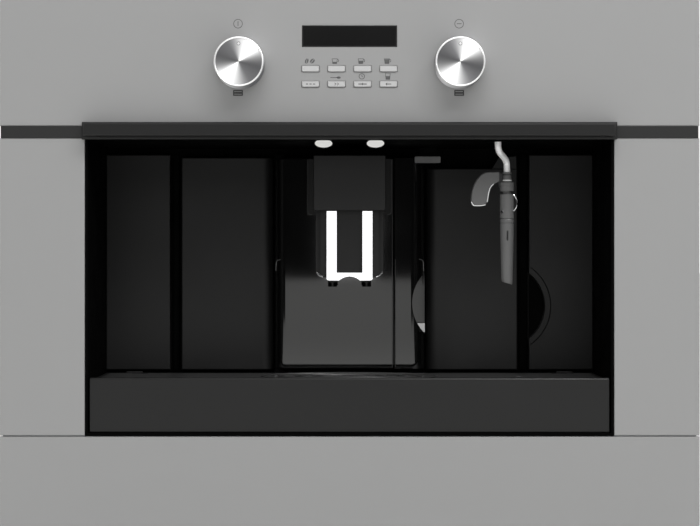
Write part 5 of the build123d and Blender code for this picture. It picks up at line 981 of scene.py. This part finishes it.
# %% Wand grip
grip = [
    (2.9, 297.6), (6.1, 297.6), (6.4, 297.2), (6.4, 294.9), (6.1, 294.6), (6.1, 290.2), (5.8, 289.9),
    (3.4, 289.9), (3.3, 287.3), (5.8, 287.3), (6.1, 287.0), (6.1, 266.8), (5.9, 266.2), (3.0, 266.1),
]
turned_grip = show("wand_grip_turned", turned_solid(grip, wand_axis, "up", 80), "steam_wand", satin_steel)
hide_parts("wand_grip")
lever_outline = [
    (130.0, 306.5), (121.5, 306.5), (118.7, 306.2), (116.2, 305.4), (114.0, 304.0), (110.2, 299.8),
    (107.9, 295.1), (106.4, 290.6), (105.7, 286.6), (105.5, 282.8), (105.5, 280.5), (106.9, 277.7),
    (108.3, 277.2), (115.4, 277.2), (117.7, 278.1), (119.2, 280.5), (119.6, 282.8), (120.1, 286.6),
    (121.0, 290.8), (122.5, 294.1), (124.8, 296.0), (127.6, 297.1), (129.8, 298.4),
]
show("wand_lever", extruded(lever_outline, (30.0, 40.0)), "steam_wand", satin_steel, soft=1.0, sharp=50)
# Painted highlight: white wires where the lever's lower edges catch the light.
edges = [[(x, 30.2, z) for x, z in lever_outline[start:end]] for start, end in ((10, 15), (15, 21))]
wire("wand_lever_shine", edges, 0.8, "steam_wand", white_paint_and_highlight)
web = [(129.0, 305.4), (132.9, 305.4), (132.9, 292.5), (129.6, 293.5), (128.8, 299.2)]
show("wand_lever_web", extruded(web, (33.4, 36.6)), "steam_wand", black_nylon, soft=0.4)
spring = [
    (141.8, 31.4, 286.8), (144.0, 31.2, 285.2), (145.4, 31.0, 279.8), (144.2, 31.2, 274.2),
    (142.0, 31.4, 272.7),
]
wire("wand_spring_clip", [spring], 0.9, "steam_wand", chrome_plate)
screw = [(0, 28.6), (1.0, 28.6), (1.25, 28.9), (1.25, 30.6), (0, 30.6)]
show("wand_screw", turned_solid(screw, (131.9, 0, 271.9), "depth", 24), "steam_wand", chrome_plate)
print("grip", round(grip[0][1] - grip[-1][1], 1), "mm tall")

# %% [markdown]
# ## Frother sleeve
# The sleeve froths the milk with air that it draws in through a slot. It is turned like the grip, and
# its mouth is cut at a slant, so the lowest points of the lathe shape are moved down on one side.

# %% Frother sleeve
SLEEVE_TOP, SLEEVE_FOOT, MOUTH_SLANT = 265.9, 208.7, 0.29
sleeve = [
    (3.3, SLEEVE_TOP), (5.5, SLEEVE_TOP), (5.95, 265.4), (6.05, 264.6), (6.0, 262.9), (5.6, 262.6),
    (5.6, 261.9), (5.98, 261.6), (5.0, 213.0), (4.85, 210.4), (4.6, 209.2), (4.2, SLEEVE_FOOT),
    (3.4, SLEEVE_FOOT), (3.2, 209.4), (3.2, SLEEVE_TOP),
]
turned_sleeve = turned_solid(sleeve, wand_axis, "up", 80)
for corner in turned_sleeve.verts:
    if corner.co.z < 212:
        corner.co.z -= (corner.co.x - WAND_X - 4.9) * MOUTH_SLANT
outer = show("frother_sleeve_turned", turned_sleeve, "frother_sleeve", satin_steel)
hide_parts("frother_sleeve")
# Painted shade: a dark patch in mask ink stands for the shaded opening of the air slot.
slot_shade = extruded(rounded((136.0, 137.4), (247.0, 256.0), 0.7, 4), (29.15, 29.6))
show("frother_air_slot", slot_shade, "frother_sleeve", mask_and_slot_shade)
print("sleeve", round(SLEEVE_TOP - SLEEVE_FOOT, 1), "mm long")

# %% [markdown]
# ## Lamp rings
# Each lamp lens is held by a thin silver ring that tips forward with it, so the ring is turned around
# an axis that leans by 25 degrees.

# %% Lamp rings
LAMP_X, LAMP_DEPTH, LAMP_Z = 22.3, 18, 332.6
lean = Matrix.Rotation(math.radians(-25), 3, "X")
for side, name in ((-1, "left"), (1, "right")):
    ring = turned_solid([(6.9, -0.2), (7.0, -0.75), (7.4, -0.75), (7.44, -0.2)], (0, 0, 0), "up", 64)
    for corner in ring.verts:
        corner.co = Vector((side * LAMP_X, LAMP_DEPTH, LAMP_Z)) + lean @ corner.co
    show(f"lamp_ring_{name}", ring, "machine", silver_lacquer_and_painted_light)
print("two lamp rings")

# %% [markdown]
# ## Tray details
# Two small catches at the back of the cup stand help to lift it, and oval ribs around its middle keep a
# cup in place. The catches are rounded lugs beside the notches, the ribs are half sunk wires.

# %% Tray catches and ribs
CATCH_X, CUP_DEPTH, RIB_Z = 195, 60, 127.9
catches = [
    extruded(rounded((x - 7.5, x + 7.5), (127.3, 129.3), 0.8, 3), (106.5, 109.5)) for x in (-CATCH_X, CATCH_X)
]
show("tray_catches", joined(catches), "cup_grille", tray_plastic, soft=0.3)
for number, (wide, deep) in enumerate(((78, 46), (63, 37), (48, 28), (33, 19)), 1):
    ring = [(x, depth, RIB_Z) for x, depth in arc(0, CUP_DEPTH, wide, 0, 360, 24, deep / wide)]
    wire(f"cup_rest_rib_{number}", [ring], 1.8, "cup_grille", grille_plastic)
print("two catches and four ribs")

# %% [markdown]
# ## Pressed sheet
# Thin sheet would drum, so its maker presses beads into it. Low rounded ribs on the sides, top and back
# do that here, and each stands less than a millimetre proud.

# %% Pressed beads
BEAD_WIDTH, SIDE_BEAD_Z = 9, (165, 330)


def bead(x, depth, z, axis, outer):
    """A rib between limits on a sheet across one axis; its sides slope in at its outer end, 0 or 1."""
    made = bmesh.new()
    bmesh.ops.create_cube(made, size=1)
    for corner in made.verts:
        ends = [round(value + 0.5) for value in corner.co]
        place = [limits[end] for limits, end in zip((x, depth, z), ends)]
        if ends[axis] == outer:
            for index in {0, 1, 2} - {axis}:
                place[index] += 1.5 - 3 * ends[index]
        corner.co = place
    return made


beads = [bead((267.2, 268.0), (d, d + BEAD_WIDTH), SIDE_BEAD_Z, 0, 1) for d in (60, 120, 180, 240)]
beads += [bead((-268.0, -267.2), (d, d + BEAD_WIDTH), SIDE_BEAD_Z, 0, 0) for d in (60, 120, 180, 240)]
beads += [bead((20, 210), (d, d + BEAD_WIDTH), (443.9, 444.7), 2, 1) for d in (60, 150, 240, 330)]
beads += [bead((-240, 240), (384.9, 385.7), (z, z + BEAD_WIDTH), 1, 1) for z in (110, 150)]
show("pressed_beads", joined(beads), "machine", galvanised_steel, soft=0.5)
print(len(beads), "pressed beads")

# %% [markdown]
# ## Mains inlet pins
# The three flat pins of the inlet are nickel plated brass in a black nylon socket. Small bright sleeves
# cover the plain pins of the solid.

# %% Inlet pins
INLET_X, INLET_Z = 190, 62
pins = []
for shift, rise in ((-7, -2), (0, 2), (7, -2)):
    x, z = INLET_X + shift, INLET_Z + rise
    pins.append(extruded(rounded((x - 1.05, x + 1.05), (z - 2.05, z + 2.05), 0.5, 3), (371.0, 382.1)))
show("inlet_pins", joined(pins), "machine", brass, soft=0.2)
print("three pins")

# %% [markdown]
# ## Light
# A plain soft studio: a pale sky all round, a wide soft lamp above the front and a smaller one at the
# upper right. A third lamp only shows in mirrors and draws the shine on the knobs. The sky looks nearly
# white to the camera, in metal and through clear plastic, and lights the machine a little less.


# %% World and lamps
def area_lamp(name, place, aim, size, power):
    """A square or rectangular soft lamp that points at a place."""
    light = bpy.data.lights.new(name, "AREA")
    light.shape = "RECTANGLE"
    light.size, light.size_y = size
    light.energy = power
    lamp = bpy.data.objects.new(name, light)
    lamp.location = place
    lamp.rotation_euler = (Vector(aim) - Vector(place)).to_track_quat("-Z", "Y").to_euler()
    bpy.context.scene.collection.objects.link(lamp)
    return lamp


SKY_LIGHT, SKY_SEEN = 0.56, 0.97
world = bpy.data.worlds.new("pale_sky")
bpy.context.scene.world = world
world.use_nodes = True
sky = world.node_tree
background = sky.nodes["Background"]
background.inputs["Color"].default_value = linear("#FFFFFF")
path = node(sky, "ShaderNodeLightPath")
direct = node(
    sky, "ShaderNodeMath", {"operation": "MAXIMUM"},
    {0: path.outputs["Is Camera Ray"], 1: path.outputs["Is Glossy Ray"]},
)
direct = node(
    sky, "ShaderNodeMath", {"operation": "MAXIMUM"}, {0: direct, 1: path.outputs["Is Transmission Ray"]}
)
strength = node(sky, "ShaderNodeMapRange", {"To Min": SKY_LIGHT, "To Max": SKY_SEEN}, {"Value": direct})
sky.links.new(strength.outputs["Result"], background.inputs["Strength"])
area_lamp("soft_top_lamp", (0.1, -2.0, 2.1), (0, 0, 0.1), (1.6, 1.0), 20)
area_lamp("right_lamp", (1.5, -2.3, 2.2), (0, -0.18, 0.3), (0.5, 0.5), 9)
shine = area_lamp("knob_shine_lamp", (1.4, -1.9, 2.2), (0, -0.18, 0.4), (0.6, 0.6), 60)
shine.visible_diffuse = False
print("world and three lamps")

# %% [markdown]
# ## Floor and cards
# The floor is pale and wide, and mirrors show it brighter than it lies there. Five black cards in front
# of the machine keep its black plastics black, as a product photographer does, and a small white card
# whitens the chrome plate. Only mirrors see the cards. Their sizes are in metres.


# %% Floor and cards
def card(name, corners, colour, glow=0.0):
    """A flat piece of the studio."""
    mesh = bpy.data.meshes.new(name)
    mesh.from_pydata(corners, [], [(0, 1, 2, 3)])
    made = finish(name + "_surface", colour, Roughness=0.9, Emission_Strength=glow)
    if glow:
        made.node_tree.nodes["Principled BSDF"].inputs["Emission Color"].default_value = linear(colour)
    mesh.materials.append(made)
    piece = bpy.data.objects.new(name, mesh)
    bpy.context.scene.collection.objects.link(piece)
    return piece


FLOOR_GLOW, FLOOR_GLOW_IN_MIRRORS = 0.2, 0.65
CARD_Y, CARD_TOP = -5, 1.3
floor = card("pale_floor", [(-30, -25, 0), (30, -25, 0), (30, 40, 0), (-30, 40, 0)], "#E6E6E4", FLOOR_GLOW)
tree = floor.data.materials[0].node_tree
glossy = node(tree, "ShaderNodeLightPath").outputs["Is Glossy Ray"]
shown = node(
    tree, "ShaderNodeMapRange", {"To Min": FLOOR_GLOW, "To Max": FLOOR_GLOW_IN_MIRRORS}, {"Value": glossy}
)
tree.links.new(shown.outputs["Result"], tree.nodes["Principled BSDF"].inputs["Emission Strength"])
cards = [
    card(name, [(*start, low), (*end, low), (*end, CARD_TOP), (*start, high)], "#000000")
    for name, start, end, low, high in (
        ("left_black_card", (-2, CARD_Y), (-0.27, CARD_Y), 0.02, CARD_TOP),
        ("middle_black_card", (-0.27, CARD_Y), (0.27, CARD_Y), 0.172, CARD_TOP),
        ("right_black_card", (0.27, CARD_Y), (2, CARD_Y), 0.02, CARD_TOP),
        ("left_flag", (-0.9, -0.4), (-2, CARD_Y), 0.02, 0.38),
        ("right_flag", (0.9, -0.4), (2, CARD_Y), 0.02, 0.38),
    )
]
white_corners = [(x, -4.95, z) for x, z in ((-0.09, 0.172), (0.09, 0.172), (0.09, 0.43), (-0.09, 0.43))]
cards.append(card("white_card", white_corners, "#FFFFFF", 1.3))
for mirrored in cards:
    mirrored.visible_camera = mirrored.visible_diffuse = mirrored.visible_shadow = False
print("floor and six cards")
